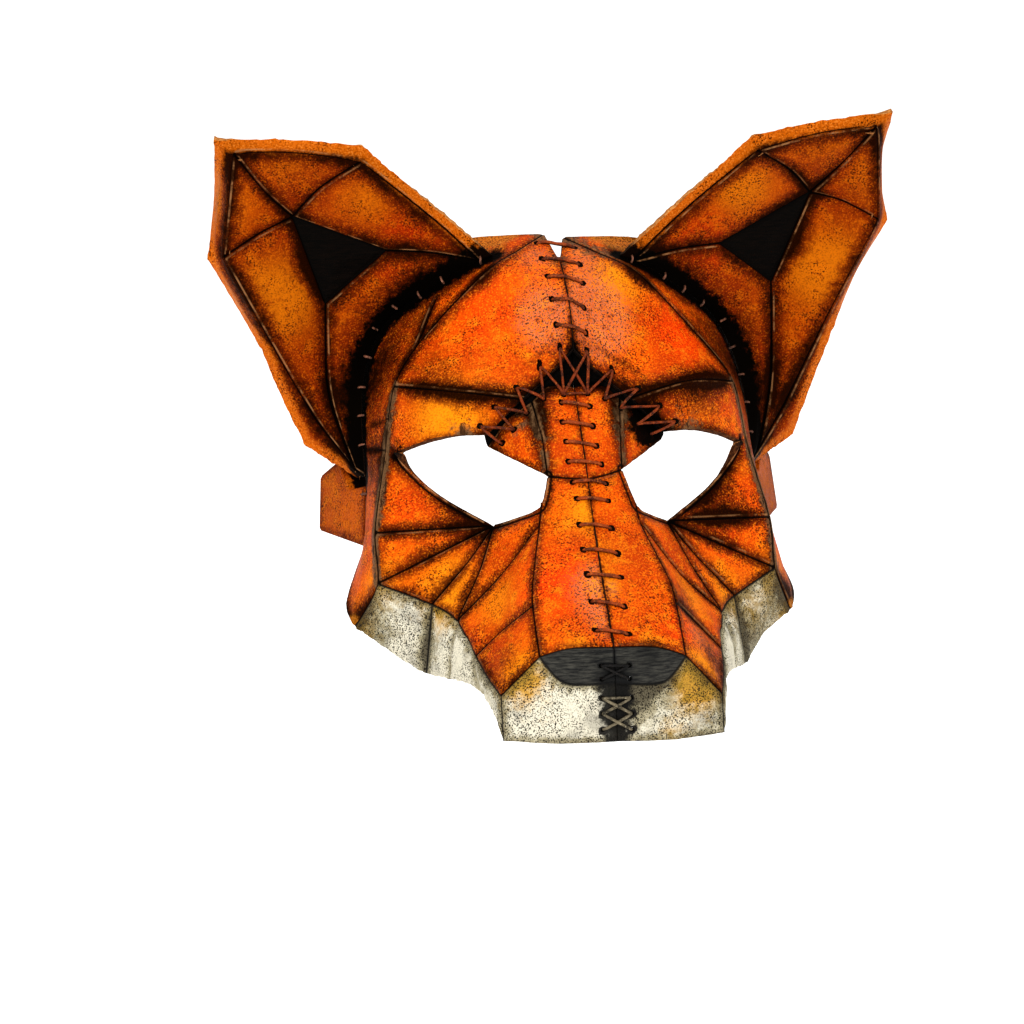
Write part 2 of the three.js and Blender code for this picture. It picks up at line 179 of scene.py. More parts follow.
@dataclass(frozen=True)
class Landmark:
    """A point of the right half on the outer face of the leather."""

    x: float
    y: float
    z: float
    lift: float = 0.0

    def place(self, side: Side) -> Vector:
        """Where the point lies on one side, in metres in the part's frame."""
        lifted = Vector((side.value * self.x, self.y, self.z - side.value * self.lift))
        return (lifted + BRIDGE) * MM


@dataclass(frozen=True)
class Bow:
    """How far the middle of a line stands off its chord."""

    start: str
    end: str
    x: float
    y: float
    z: float


@dataclass(frozen=True)
class Dab:
    """A soft patch of dye about the mean of some landmarks; a few patches are painted sheen and painted
    shade.
    """

    tone: Tone
    radius: float
    amount: float
    side: Optional[Side]
    at: tuple[str, ...]


@dataclass(frozen=True)
class Score:
    """A line tooled freely across a facet, each end at the mean of some landmarks."""

    kind: Line
    side: Optional[Side]
    start: tuple[str, ...]
    end: tuple[str, ...]


def rows(text: str) -> list[list[str]]:
    """Split a table into the words of its rows.

    Args:
        text: The table, with its column names in the first row.

    Returns:
        The rows under the column names.
    """
    return [line.split() for line in text.strip().splitlines()[1:]]


def landmarks(text: str) -> dict[str, Landmark]:
    """Read a table of landmarks.

    Args:
        text: Rows of name, x, y, z and lift.

    Returns:
        The landmarks by name.
    """
    return {name: Landmark(*map(float, numbers)) for name, *numbers in rows(text)}


def dabs(text: str) -> tuple[Dab, ...]:
    """Read a table of dye dabs.

    Args:
        text: Rows of tone, radius, amount, side and the landmarks between which the dab lies.

    Returns:
        The dabs in order.
    """
    return tuple(
        Dab(Tone(tone), float(radius), float(amount),
            None if side == "both" else Side[side.upper()], tuple(at))
        for tone, radius, amount, side, *at in rows(text))


def tree_of(spots: list[Vector]) -> KDTree:
    """Sort some points for finding the nearest.

    Args:
        spots: The points.

    Returns:
        A balanced tree that numbers the points as the list does.
    """
    tree = KDTree(len(spots))
    for i, spot in enumerate(spots):
        tree.insert(spot, i)
    tree.balance()
    return tree


FACE_POINTS = landmarks("""
    at x y z lift
    seamTop 0 46.5 70
    seamMid 0 29.5 56.5
    foreApex 0 23.6 41.8
    glabTop 0 24.3 28.9
    glabMid 0 11.8 14.5
    bridge 0 0 0
    noseA 0 -4.6 -7
    noseB 0 -9.6 -13.8
    noseC 0 -23 -29.3
    noseD 0 -31.5 -38
    noseTip 0 -43.5 -49.9
    noseUnder 0 -44.9 -61.7
    chin 0 -46.5 -81.2
    crown 3.4 61 78 0.7
    foldA 15.2 53.3 72.6 0.8
    foldB 28 46 65.7 1.1
    foldC 49 51 43.3 1.2
    browOuter 60.4 43.7 27.4 1.7
    foreInner 17 33 56 0.6
    foreOuter 33 35.5 43 0.8
    foreDart 10.5 22.9 31.5 0.1
    browInner 18.8 20.2 25.0 0.6
    browMid 41.2 26.2 29 -0.3
    browDart 30.8 21.9 12.6 0.8
    glabDart 9.4 23.6 29.4 0.2
    glabSide 15.6 21.3 24.8 0.1
    glabEye 31 24.4 9.3 0
    glabFold 13.9 12 14.2 -0.4
    tuckTop 0 28.6 45.5
    tuckDart 14.5 28.4 37
    tuckBrow 31 28 24.5
    browLow 47.2 26 12.1 0.8
    eyeOuter 61.8 36 5.8 0.9
    eyeUnder 47.7 31.5 -8.5 1.2
    eyeLow 30.5 17.5 -17.8 0.7
    eyeRound 21.4 7.5 -13.2 0.6
    eyeNose 16.5 -0.6 -8.6 0.6
    eyeInner 13.1 6 1.3 -0.5
    ridgeEye 64.3 41.5 5.9 1.2
    ridgeCheek 70.2 31.6 -20.7 0.7
    cheekCorner 70.4 24.7 -37.7 0.9
    fanInner 40.4 12.6 -29.8 1.4
    fanWhite 53.3 13 -44.1 1.3
    foldMid 37.2 7.2 -31.9 1.2
    muzzleCorner 46.5 0.9 -47.6 1
    furrowMid 31.1 -0.6 -32.7 1.2
    creaseMid 33.4 -17.1 -47.9 0.6
    creaseEnd 42.5 -15.5 -57.1 1.2
    noseEdgeB 17.7 -2.6 -15.1 0.7
    noseEdgeC 23.1 -20.4 -29.6 1
    noseEdgeD 24.6 -27.4 -38.3 0.8
    noseCorner 24.8 -41.6 -53.4 1.2
    noseBase 16.5 -42.6 -62.2 0.8
    muzzleTop 37.7 -38.3 -67.1 1.8
    muzzleLow 37.7 -40.6 -80.8 0.9
    jawTip 77.8 33.5 -54.4 1.2
    jawEdge 66 24.2 -61.2 0
    pleatLow 56.4 10.6 -67.5 1.3
    lipBack 45.2 -15.4 -65.8 0.5
    lipFront 39.8 -33.5 -71.5 0.4
    crownBack 33 70 75.8 0.9
    rimTop 50 78 64 1
    rimTemple 66 83 44 1
    rimBrow 72 81 24 1
    rimTab 69.4 58.5 -6 0
    rimTabLow 71.2 52.5 -28 0
    jawBack 79.7 40 -46.5 1.2
""")

FACE_LINES: dict[Line, tuple[str, ...]] = {
    Line.FOLD: (
        "crown foldA foldB foldC browOuter ridgeEye ridgeCheek cheekCorner jawTip",
        "browOuter browMid browInner", "glabSide glabFold eyeInner",
        "eyeLow ridgeCheek", "eyeLow cheekCorner", "eyeLow fanInner fanWhite",
        "eyeLow foldMid muzzleCorner", "noseEdgeB furrowMid muzzleCorner",
        "noseEdgeD creaseMid creaseEnd", "glabTop glabDart glabSide glabEye"),
    Line.FINE: (
        "eyeInner bridge", "eyeNose noseEdgeB noseEdgeC noseEdgeD noseCorner",
        "cheekCorner fanWhite muzzleCorner creaseEnd muzzleTop", "noseTip noseCorner",
        "noseCorner muzzleTop", "noseCorner noseBase noseUnder", "muzzleTop muzzleLow"),
    Line.TUCK: ("fanWhite pleatLow",),
    Line.HELD: ("muzzleTop lipFront",),
    Line.CUT: (
        "crown crownBack rimTop rimTemple rimBrow rimTab", "rimTab rimTabLow", "rimTabLow jawBack jawTip",
        "crown seamTop", "browDart browLow eyeOuter", "eyeInner glabEye", "muzzleLow chin"),
    Line.EYE: ("eyeOuter eyeUnder eyeLow", "eyeLow eyeRound eyeNose eyeInner"),
    Line.SEAM: (
        "seamTop seamMid foreApex", "foreApex foreDart browInner browDart",
        "glabTop tuckTop", "tuckTop tuckDart tuckBrow glabEye",
        "glabTop glabMid bridge noseA noseB noseC noseD noseTip", "noseTip noseUnder chin"),
    Line.RAGGED: ("jawTip jawEdge pleatLow lipBack lipFront muzzleLow",),
}

FACE_SCORES = (
    Score(Line.FOLD, Side.LEFT, ("browOuter",), ("foldB", "foldC", "rimTop")),
    Score(Line.MARK, Side.LEFT, ("browOuter", "ridgeEye"),
          ("browOuter", "ridgeEye", "rimBrow", "rimTab")),
    Score(Line.MARK, Side.LEFT, ("ridgeEye",), ("ridgeEye", "rimBrow", "rimTab", "rimTab")),
    Score(Line.PLEAT, None, ("muzzleCorner",), ("pleatLow", "lipBack")),
    Score(Line.PLEAT, None, ("muzzleCorner", "creaseEnd"), ("lipBack", "lipFront")),
    Score(Line.RUBBED, None, ("browOuter",), ("ridgeEye",)),
    Score(Line.RUBBED, None, ("ridgeEye",), ("ridgeCheek",)),
    Score(Line.RUBBED, None, ("ridgeCheek",), ("cheekCorner",)),
    Score(Line.WRUNG, None, ("glabSide",), ("glabFold",)),
    Score(Line.WRUNG, None, ("glabFold",), ("eyeInner",)),
)

FACE_BOWS = (
    Bow("noseTip", "noseCorner", 2, -1, 1.6),
    Bow("muzzleLow", "chin", 0, 0, -1),
    Bow("eyeInner", "bridge", 0, -1, 0),
    Bow("glabSide", "glabEye", 1.2, 0, 1.2),
    Bow("muzzleTop", "creaseEnd", 0.6, -0.6, 0),
)

FACE_FACETS: dict[Zone, tuple[str, ...]] = {
    Zone.DYED: (
        "crown seamTop foldA", "seamTop seamMid foreInner foldA", "foldA foreInner foldB",
        "seamMid foreApex foreDart foreInner", "foreInner foreDart foreOuter foldB",
        "foreDart browInner foreOuter", "foldB foreOuter foldC", "foreOuter browInner browMid foldC",
        "foldC browMid browOuter", "browInner browDart browLow browMid",
        "browMid browLow eyeOuter browOuter", "browOuter eyeOuter ridgeEye",
        "glabTop glabMid glabFold glabDart", "glabDart glabFold glabSide",
        "glabMid bridge eyeInner glabFold", "glabSide glabFold eyeInner glabEye",
        "bridge noseA eyeNose eyeInner", "noseA noseB noseEdgeB eyeNose",
        "noseB noseC noseEdgeC noseEdgeB", "noseC noseD noseEdgeD noseEdgeC",
        "noseD noseTip noseCorner noseEdgeD", "eyeOuter eyeUnder ridgeCheek ridgeEye",
        "eyeUnder eyeLow ridgeCheek", "eyeLow cheekCorner ridgeCheek",
        "eyeLow fanInner fanWhite cheekCorner", "eyeLow foldMid fanInner",
        "fanInner foldMid muzzleCorner fanWhite", "eyeRound furrowMid foldMid eyeLow",
        "eyeNose noseEdgeB furrowMid eyeRound", "foldMid furrowMid muzzleCorner",
        "noseEdgeB noseEdgeC creaseMid furrowMid", "noseEdgeC noseEdgeD creaseMid",
        "furrowMid creaseMid creaseEnd muzzleCorner", "noseEdgeD noseCorner muzzleTop creaseMid",
        "creaseMid muzzleTop creaseEnd", "crown foldA crownBack", "foldA foldB rimTop crownBack",
        "foldB foldC rimTemple rimTop", "foldC browOuter rimBrow rimTemple",
        "browOuter ridgeEye rimTab rimBrow", "ridgeEye ridgeCheek rimTabLow rimTab",
        "ridgeCheek cheekCorner jawBack rimTabLow", "cheekCorner jawTip jawBack"),
    Zone.CREAM: (
        "noseCorner noseBase muzzleLow muzzleTop", "noseBase noseUnder chin muzzleLow",
        "cheekCorner jawEdge jawTip", "cheekCorner fanWhite pleatLow jawEdge",
        "fanWhite muzzleCorner lipBack pleatLow", "muzzleCorner creaseEnd lipBack",
        "creaseEnd muzzleTop lipFront lipBack", "muzzleTop muzzleLow lipFront"),
    Zone.BLACK: ("noseTip noseUnder noseBase noseCorner",),
    # The tuck facets behind the brow dart are black: painted shade of the gap between forehead and brow.
    Zone.SOOTED: (
        "glabTop glabDart tuckDart tuckTop", "glabDart glabSide tuckBrow tuckDart",
        "glabSide glabEye tuckBrow"),
}

# The black row at eyeOuter is painted shade inside the eye's outer corner, where the inside of the mask lies
# in shadow.
# The paler rubbed rows by the forehead seam and on the nose are partly a painted sheen where those facets
# face the light; the other such rows are rubbed grain.
FACE_DABS = dabs("""
    tone radius amount side at
    soot 3.5 0.8 both foreApex
    soot 3 0.6 both foreDart
    soot 3 0.6 both browInner glabSide
    soot 3 0.6 both browDart glabEye
    soot 4 0.9 both eyeOuter
    soot 7 1.0 right glabSide glabEye
    soot 7 0.9 right glabFold glabEye
    soot 5 0.55 right noseTip noseCorner
    soot 6 1.3 both noseUnder
    soot 6 1.1 both noseUnder chin
    soot 5 1.0 both chin
    burn 9 0.5 both foreApex
    burn 8 0.45 both foreDart glabDart
    burn 7 0.5 both browInner glabSide
    burn 7 0.45 both browDart glabEye
    burn 6 0.5 both eyeLow
    burn 10 0.7 left eyeUnder eyeLow
    burn 12 0.7 right eyeUnder ridgeCheek eyeLow
    burn 9 0.9 right glabSide glabEye
    burn 8 0.5 left glabFold glabSide
    burn 12 0.4 right browMid browLow
    burn 9 0.3 right browOuter browMid
    burn 10 0.3 left browMid foldC
    burn 17 0.5 both rimTemple foldC
    burn 17 0.85 both rimBrow browOuter
    burn 13 0.65 both rimTab ridgeEye
    burn 10 0.4 both rimTabLow ridgeCheek
    burn 8 0.45 both browMid
    burn 7 0.4 both browMid browInner
    burn 8 0.4 both browMid browOuter
    burn 9 0.45 both jawTip jawBack
    burn 7 0.5 both foldB
    burn 10 0.5 left creaseMid muzzleTop
    burn 10 0.55 right creaseMid muzzleTop
    burn 8 0.4 right noseEdgeC creaseMid
    burn 8 0.35 both cheekCorner jawEdge
    burn 12 0.6 right jawEdge pleatLow
    burn 10 0.4 right fanWhite pleatLow
    burn 9 0.5 right cheekCorner jawTip
    burn 8 0.4 left jawTip jawEdge
    burn 7 0.45 left fanWhite pleatLow pleatLow
    burn 11 0.8 right noseBase noseUnder
    burn 8 0.5 right noseBase noseUnder chin
    burn 12 0.3 right noseBase muzzleTop muzzleLow
    smoke 7 0.9 both crown
    smoke 8 0.6 right foldA
    smoke 6 0.5 both seamTop
    smoke 6 0.8 left browLow browDart
    smoke 8 0.7 right browLow browDart
    smoke 6 0.45 both glabSide glabEye glabFold
    smoke 6 0.5 left eyeLow eyeRound
    crinkle 8 1.0 both glabFold glabSide
    crinkle 8 0.6 both bridge eyeInner
    crinkle 12 0.6 both rimBrow browOuter ridgeEye
    tan 13 1.1 both crownBack
    wear 12 0.8 both crownBack
    tan 8 0.7 both crown crownBack
    wear 14 1.1 right seamMid foreInner
    wear 12 1.0 right foreApex foreInner
    wear 11 0.9 left seamMid foreInner
    wear 9 0.7 left foreApex foreInner
    wear 9 0.6 both seamTop foldA
    wear 11 1.3 left noseC noseD
    wear 7 0.6 right noseC noseD
    wear 8 0.5 left noseD noseTip
    wear 9 0.7 right noseEdgeD muzzleTop creaseMid
    wear 14 0.9 left noseBase muzzleLow
    wear 10 1.0 right noseUnder chin
    wear 12 0.8 both jawEdge pleatLow
    gold 15 0.9 left browMid browLow
    gold 9 0.4 right browMid browLow
    gold 12 0.7 right foldA foreInner foldB
    gold 12 0.8 left fanInner fanWhite
    gold 9 0.5 right fanInner fanWhite
    gold 10 0.6 both creaseMid furrowMid
    gold 9 0.9 left noseA noseB
    gold 6 0.8 both noseC noseC noseD
    gold 9 0.4 right noseB noseC
    gold 5 1.0 both noseTip noseCorner
    gold 10 1.0 both noseCorner muzzleTop
    gold 12 0.5 right jawEdge fanWhite
    gold 9 0.6 right noseBase muzzleTop
    gold 7 0.5 right chin muzzleLow
    gold 9 0.7 both cheekCorner
    gold 9 0.9 both jawTip
    gold 8 0.5 both fanWhite muzzleCorner
    ember 13 0.9 left noseEdgeC noseC noseEdgeD
    ember 9 0.7 right noseEdgeD noseCorner
    ember 16 0.6 left foreOuter foldB
    ember 14 0.7 right foreOuter foldC
    ember 12 0.5 right eyeUnder ridgeCheek
    ember 10 0.4 left eyeUnder ridgeCheek
    ember 10 0.5 right cheekCorner eyeLow
""")

EAR_POINTS = landmarks("""
    at x y z lift
    tip 119.6 43.4 117.5 -0.9
    top 68.3 43 112.4 0.5
    slope 44.5 49.5 90.4 0.6
    baseEdge 22.6 54.3 70.9 0.7
    outer 121.8 62.6 76.5 -2.2
    lowMid 103.6 70.5 41 -0.2
    knee 88.6 75.5 2.9 2
    bottom 71.6 66.5 -6.7 0.9
    rimTip 113.4 42.3 113.2 -1
    rimTop 69.3 41 107.2 0.4
    rimSlope 48.4 50.8 89.1 0.8
    rimBase 28.6 54.1 71.6 0.9
    rimOuter 117 56 77.1 -2.3
    rimLowMid 100.2 66.5 43.7 -1.1
    rimKnee 84.7 71.5 13.5 1
    rimBottom 72.6 62.5 -2.7 0.2
    hub 92 57.5 89 -1
    tipFold 102.7 48 99.8 -1.6
    topFold 83 49.5 98.6 -0.3
    outerFold 103.8 57.3 84.6 -2
    triInner 59.7 60 73.8 1
    triLow 80.3 70.1 56.9 -0.8
    hollowMid 80.3 72.4 28 0.8
    hollowLow 77.5 69.5 12 1.4
    seatTop 44.8 63 60.2 1
    seatTemple 61.5 71 49 1
    seatBrow 68.8 70 29.5 1
    seatEye 69 63.5 10 1
    seatLow 69.4 58 -5 0.5
""")

EAR_LINES: dict[Line, tuple[str, ...]] = {
    Line.RAGGED: ("tip top", "top slope baseEdge", "tip outer", "outer lowMid knee", "knee bottom"),
    Line.CUT: ("bottom seatLow",),
    Line.VALLEY: ("baseEdge rimBase seatTop seatTemple seatBrow seatEye seatLow",),
    Line.SHADED: (
        "rimTip rimTop", "rimTop rimSlope rimBase", "rimTip rimOuter",
        "rimOuter rimLowMid rimKnee rimBottom", "rimBottom seatLow", "hub triInner", "hub triLow",
        "triInner triLow", "triInner rimBase", "triLow hollowMid hollowLow rimBottom"),
    Line.FOLD: ("rimTip tipFold hub", "rimTop topFold hub", "hub outerFold rimOuter"),
}

EAR_BOWS = (
    Bow("tip", "top", 0, 0, 1.2),
    Bow("rimTip", "rimTop", 0, 0, 1.4),
    Bow("tip", "outer", -1.9, 9, 0),
    Bow("outer", "lowMid", 0, 5.5, 0),
    Bow("lowMid", "knee", 0.8, 2, 0),
)

EAR_FACETS: dict[Zone, tuple[str, ...]] = {
    Zone.DYED: (
        "top rimTop rimTip tip", "slope rimSlope rimTop top", "baseEdge rimBase rimSlope slope",
        "rimTip rimOuter outer tip", "rimOuter rimLowMid lowMid outer", "rimLowMid rimKnee knee lowMid",
        "rimKnee rimBottom bottom knee", "rimBottom seatLow bottom",
        "tipFold outerFold rimOuter rimTip", "hub outerFold tipFold", "rimTop topFold tipFold rimTip",
        "topFold hub tipFold", "rimSlope hub topFold rimTop", "rimSlope triInner hub",
        "rimBase triInner rimSlope", "outerFold triLow rimLowMid rimOuter", "hub triLow outerFold",
        "triLow hollowMid rimKnee rimLowMid", "hollowMid hollowLow rimBottom rimKnee",
        "seatTop triInner rimBase", "seatTop seatTemple triLow triInner",
        "seatTemple seatBrow hollowMid triLow", "seatBrow seatEye hollowLow hollowMid",
        "seatEye seatLow rimBottom hollowLow"),
    Zone.SOOTED: ("triInner triLow hub",),
}

EAR_DABS = dabs("""
    tone radius amount side at
    soot 8 0.7 both rimBottom seatLow
    burn 12 0.5 both rimBottom
    burn 10 0.5 both rimTip
    burn 7 0.5 both hub
    burn 10 0.35 both tipFold topFold
    burn 9 0.4 both rimTop
    burn 9 0.5 both rimBase
    burn 8 0.45 both hub triLow
    burn 10 0.35 both hollowMid hollowLow
    burn 16 0.3 left rimSlope triInner
    burn 14 0.3 left rimLowMid outerFold
    gold 14 0.9 both tip outer
    gold 14 0.8 both outer lowMid
    gold 12 0.7 both tip top
    gold 15 0.9 both rimLowMid triLow outerFold
    gold 12 0.6 left rimSlope topFold
    gold 12 0.9 right rimSlope topFold
    gold 10 0.5 both lowMid knee
    ember 12 0.5 both rimSlope triInner
    ember 14 0.6 both triInner seatTop
    ember 12 0.5 both hollowMid seatBrow
    ember 12 0.4 both knee
""")


@dataclass(frozen=True)
class Thong:
    """Sizes of one kind of lace: its radius, its holes and how far it stands off, in millimetres."""

    radius: float
    hole: float
    arch: float = 0.1
    over: float = 0.0


class Lace(Enum):
    """Kinds of lace on the mask."""

    SEAM = Thong(radius=0.64, hole=0.85)
    BROW = Thong(radius=0.52, hole=0.74, over=0.6)
    CHIN = Thong(radius=0.52, hole=0.74, over=0.7)
    EAR = Thong(radius=0.42, hole=0.55)


@dataclass(frozen=True)
class Anchor:
    """Where a lace goes into the leather: the sheet if punched, the point, the way out and the hole."""

    sheet: Optional["Sheet"]
    point: Vector
    normal: Vector
    hole: float

    @property
    def wall(self) -> float:
        """Thickness of the leather at the hole, in metres."""
        return self.sheet.wall if self.sheet else TAB_WALL * MM


class Sheet:
    """A moulded leather sheet, drawn taut between its folds."""

    def __init__(self, name: str, side: Side, wall: float, points: dict[str, Landmark],
                 lines: dict[Line, tuple[str, ...]], bows: tuple[Bow, ...],
                 facets: dict[Zone, tuple[str, ...]]) -> None:
        """Lay out the fold net.

        Args:
            name: Name of the finished piece.
            side: Which side of the mask it is on.
            wall: Thickness in millimetres.
            points: Landmarks by name.
            lines: Folds and cut edges as rows of landmark names.
            bows: Lines whose middle stands off the chord.
            facets: Facets as rows of landmark names, by finish.
        """
        self.name = name
        self.side = side
        self.wall = wall * MM
        self.points = points
        self.bm = bmesh.new()
        self.zone = self.bm.faces.layers.int.new("zone")
        self.holes: list[Anchor] = []
        self.inward: list[Vector] = []
        self.coarse = 0
        self.corner = {at: i for i, at in enumerate(points)}
        knots = [self.bm.verts.new(mark.place(side)) for mark in points.values()]
        for zone, names in facets.items():
            for facet in names:
                ring = [knots[self.corner[at]] for at in facet.split()]
                face = self.bm.faces.new(ring if side is Side.RIGHT else ring[::-1])
                face[self.zone] = zone.value
        self.chains = [(kind, [self.corner[at] for at in line.split()])
                       for kind, names in lines.items() for line in names]
        self.bows = [(self.corner[b.start], self.corner[b.end],
                      Vector((side.value * b.x, b.y, b.z)) * MM) for b in bows]

    def chain(self, start: str) -> list[int]:
        """Numbers of the points of the line that starts at a landmark."""
        return next(chain for _, chain in self.chains if chain[0] == self.corner[start])

    def mean(self, names: tuple[str, ...]) -> Vector:
        """The mean of some landmarks on this side."""
        return sum((self.points[at].place(self.side) for at in names), Vector()) / len(names)

    def middle(self, a: int, b: int) -> bmesh.types.BMVert:
        """The point that halves an edge, right after the edges were halved."""
        start, end = self.bm.verts[a], self.bm.verts[b]
        near = {edge.other_vert(end) for edge in end.link_edges}
        return next(v for v in (edge.other_vert(start) for edge in start.link_edges) if v in near)

    def refine(self) -> None:
        """Halve every edge; a point on a line lies on the cubic through its neighbours."""
        self.coarse = len(self.bm.verts)
        bmesh.ops.subdivide_edges(self.bm, edges=self.bm.edges[:], cuts=1, use_grid_fill=True)
        self.bm.verts.ensure_lookup_table()
        self.bm.verts.index_update()
        finer = []
        for kind, chain in self.chains:
            at = [self.bm.verts[i].co.copy() for i in chain]
            at = [2 * at[0] - at[1], *at, 2 * at[-1] - at[-2]]
            out = [chain[0]]
            for i, (a, b) in enumerate(zip(chain, chain[1:])):
                mid = self.middle(a, b)
                mid.co = (9 * (at[i + 1] + at[i + 2]) - at[i] - at[i + 3]) / 16
                out += [mid.index, b]
            finer.append((kind, out))
        for start, end, by in self.bows:
            self.middle(start, end).co += by
        self.chains, self.bows = finer, []

    def relax(self, passes: int) -> None:
        """Let the leather between the folds draw taut, near neighbours pulling most.

        Args:
            passes: How often each point moves towards the mean of its neighbours.
        """
        verts = self.bm.verts
        at = np.array([v.co for v in verts])
        held = {i for _, chain in self.chains for i in chain}
        free = np.array([v.index not in held and not v.is_boundary for v in verts])
        ends = np.array([[v.index for v in e.verts] for e in self.bm.edges])
        length = np.linalg.norm(at[ends[:, 0]] - at[ends[:, 1]], axis=1)
        pull = 1 / (length ** 2 + (np.median(length) / 2) ** 2)
        here, there = np.concatenate([ends, ends[:, ::-1]]).T
        pull = np.concatenate([pull, pull])
        whole = np.bincount(here, pull)
        for _ in range(passes):
            pulled = [np.bincount(here, pull * at[there, k]) for k in range(3)]
            at[free] = (np.stack(pulled, axis=1) / whole[:, None])[free]
        for v, co in zip(verts, at):
            v.co = co

    def untangle(self) -> None:
        """Even out the few free points whose faces were drawn across each other."""
        held = {i for _, chain in self.chains for i in chain}
        for _ in range(UNTANGLE_PASSES):
            self.bm.normal_update()
            crossed = {v for v in self.bm.verts
                       if min(f.normal.dot(v.normal) for f in v.link_faces) < CROSSED_LEAN}
            crossed |= {edge.other_vert(v) for v in crossed for edge in v.link_edges}
            for v in sorted(crossed, key=lambda v: v.index):
                if v.index not in held and not v.is_boundary:
                    around = [edge.other_vert(v).co for edge in v.link_edges]
                    v.co = sum(around, Vector()) / len(around)

    def mould(self) -> None:
        """Refine and relax the net, then swell its facets a little."""
        for step in range(REFINE_STEPS):
            self.refine()
            self.settle_edges()
            self.relax(RELAX_PASSES[step])
        self.untangle()
        tree = self.line_tree(self.chains)
        self.bm.normal_update()
        rise = [FACET_SWELL * MM * (1 - math.exp(-((tree.find(v.co)[2] / MM / SWELL_REACH) ** 2)))
                for v in self.bm.verts]
        for v, by in zip(self.bm.verts, rise):
            v.co += v.normal * by
        self.settle_edges()
        self.bm.normal_update()

    def settle_edges(self) -> None:
        """Keep the edges where they belong; a plain sheet has none to keep."""

    def line_tree(self, chains: Iterable[tuple[Line, list[int]]]) -> KDTree:
        """Points a quarter of an edge apart along some lines, for finding the nearest.

        Args:
            chains: The lines.

        Returns:
            A balanced tree of the points.
        """
        verts = self.bm.verts
        return tree_of([verts[a].co.lerp(verts[b].co, k / 4) for _, chain in chains
                        for a, b in zip(chain, chain[1:]) for k in range(5)])

    def trace(self, score: Score) -> list[Vector]:
        """Points along a freely tooled line, laid on the sheet.

        Args:
            score: The line.

        Returns:
            Points about half a millimetre apart.
        """
        tree = self.tree()
        start, end = self.mean(score.start), self.mean(score.end)
        steps = math.ceil((end - start).length / MM * 2)
        return [tree.find_nearest(start.lerp(end, k / steps))[0] for k in range(steps + 1)]

    def nearest(self, kind: Line, scores: Iterable[Score]) -> Optional[tuple[np.ndarray, np.ndarray]]:
        """Millimetres from each point to the nearest line of a kind, and the side of it.

        Args:
            kind: The kind of line.
            scores: Freely tooled lines.

        Returns:
            One distance a point, and one side a point from -1 to 1, or None if there is no such line.
        """
        verts = self.bm.verts
        runs = [([verts[i].co for i in chain], [verts[i].normal for i in chain])
                for made, chain in self.chains if made is kind]
        for score in scores:
            if score.kind is kind and score.side in (None, self.side):
                points = self.trace(score)
                runs.append((points, [Vector((0, -1, 0))] * len(points)))
        spots = [(a.lerp(b, k / 4), up.cross(b - a).normalized()) for points, ups in runs
                 for a, b, up in zip(points, points[1:], ups) for k in range(5)]
        if not spots:
            return None
        tree = tree_of([spot for spot, _ in spots])
        off, side = np.zeros(len(verts)), np.zeros(len(verts))
        for i, v in enumerate(verts):
            spot, n, off[i] = tree.find(v.co)
            side[i] = max(-1.0, min(1.0, (v.co - spot).dot(spots[n][1]) / (SIDE_BLEND * MM)))
        return off / MM, side

    def tool(self, patches: tuple[Dab, ...], scores: tuple[Score, ...] = (),
             shade: Optional[KDTree] = None) -> None:
        """Press the grooves, waver the cut edges and dye the surface, painted sheen and painted shade
        included.

        Args:
            patches: Dye dabs.
            scores: Freely tooled lines.
            shade: Points of a line of another sheet beside which this one is darkened to black.
        """
        bm = self.bm
        count = len(bm.verts)
        values = {key: np.zeros(count) for key in (*(tone.value for tone in Tone), "fold_side", "paint")}
        values["fold_mm"] = np.full(count, NO_FOLD)
        sink = np.zeros(count)
        for kind in Line:
            found = self.nearest(kind, scores)
            if found is None:
                continue
            off, side = found
            made = kind.value
            if made.inset:
                side = np.clip((made.inset - off) / SIDE_BLEND, -1, 1)
            for key, share, reach in (("burn", made.burn, made.reach), ("soot", made.soot, made.soot_reach),
                                      ("tan", made.tan, made.tan_reach),
                                      ("smoke", made.smoke, made.smoke_reach),
                                      ("crinkle", made.smoke, made.smoke_reach)):
                values[key] = np.maximum(values[key], share * np.exp(-((off / reach) ** 2)))
            if made.depth:
                off = np.abs(off - made.inset)
                closer = off < values["fold_mm"]
                press = (made.bead * (side > 0) * np.exp(-(((off - BEAD_AT) / made.width) ** 2))
                         - made.depth * np.exp(-((off / made.width) ** 2)))
                sink = np.where(np.abs(press) > np.abs(sink), press, sink)
                if kind is not Line.PLEAT:
                    values["fold_mm"] = np.where(closer, off, values["fold_mm"])
                    # fold_side holds how much of the bead is drawn light: rubbed bare, and partly a painted
                    # highlight.
                    values["fold_side"] = np.where(closer, side * made.shine, values["fold_side"])
        where = np.array([v.co for v in bm.verts]) / MM
        for dab in patches:
            if dab.side in (None, self.side):
                spot = self.mean(dab.at) / MM
                off = np.linalg.norm(where - np.array(spot), axis=1)
                values[dab.tone.value] += dab.amount * np.exp(-((off / dab.radius) ** 2))
        if shade is not None:
            off = np.array([shade.find(v.co)[2] / MM for v in bm.verts])
            values["soot"] = np.maximum(values["soot"], SEAT_SOOT * np.exp(-((off / SEAT_SOOT_REACH) ** 2)))
            values["burn"] = np.maximum(values["burn"], np.exp(-((off / SEAT_BURN_REACH) ** 2)))
        for key in values:
            bm.verts.layers.float.new(key)
        number = bm.verts.layers.int.new("number")
        bm.verts.ensure_lookup_table()
        for key, column in values.items():
            layer = bm.verts.layers.float[key]
            for v, value in zip(bm.verts, column):
                v[layer] = float(value)
        for i, v in enumerate(bm.verts):
            v[number] = i
            lean = min(f.normal.dot(v.normal) for f in v.link_faces)
            self.inward.append(-v.normal * self.wall / max(lean, 1 / MITRE_LIMIT))
        for v, by in zip(bm.verts, sink):
            v.co += v.normal * float(by) * MM
        self.waver()
        bm.normal_update()

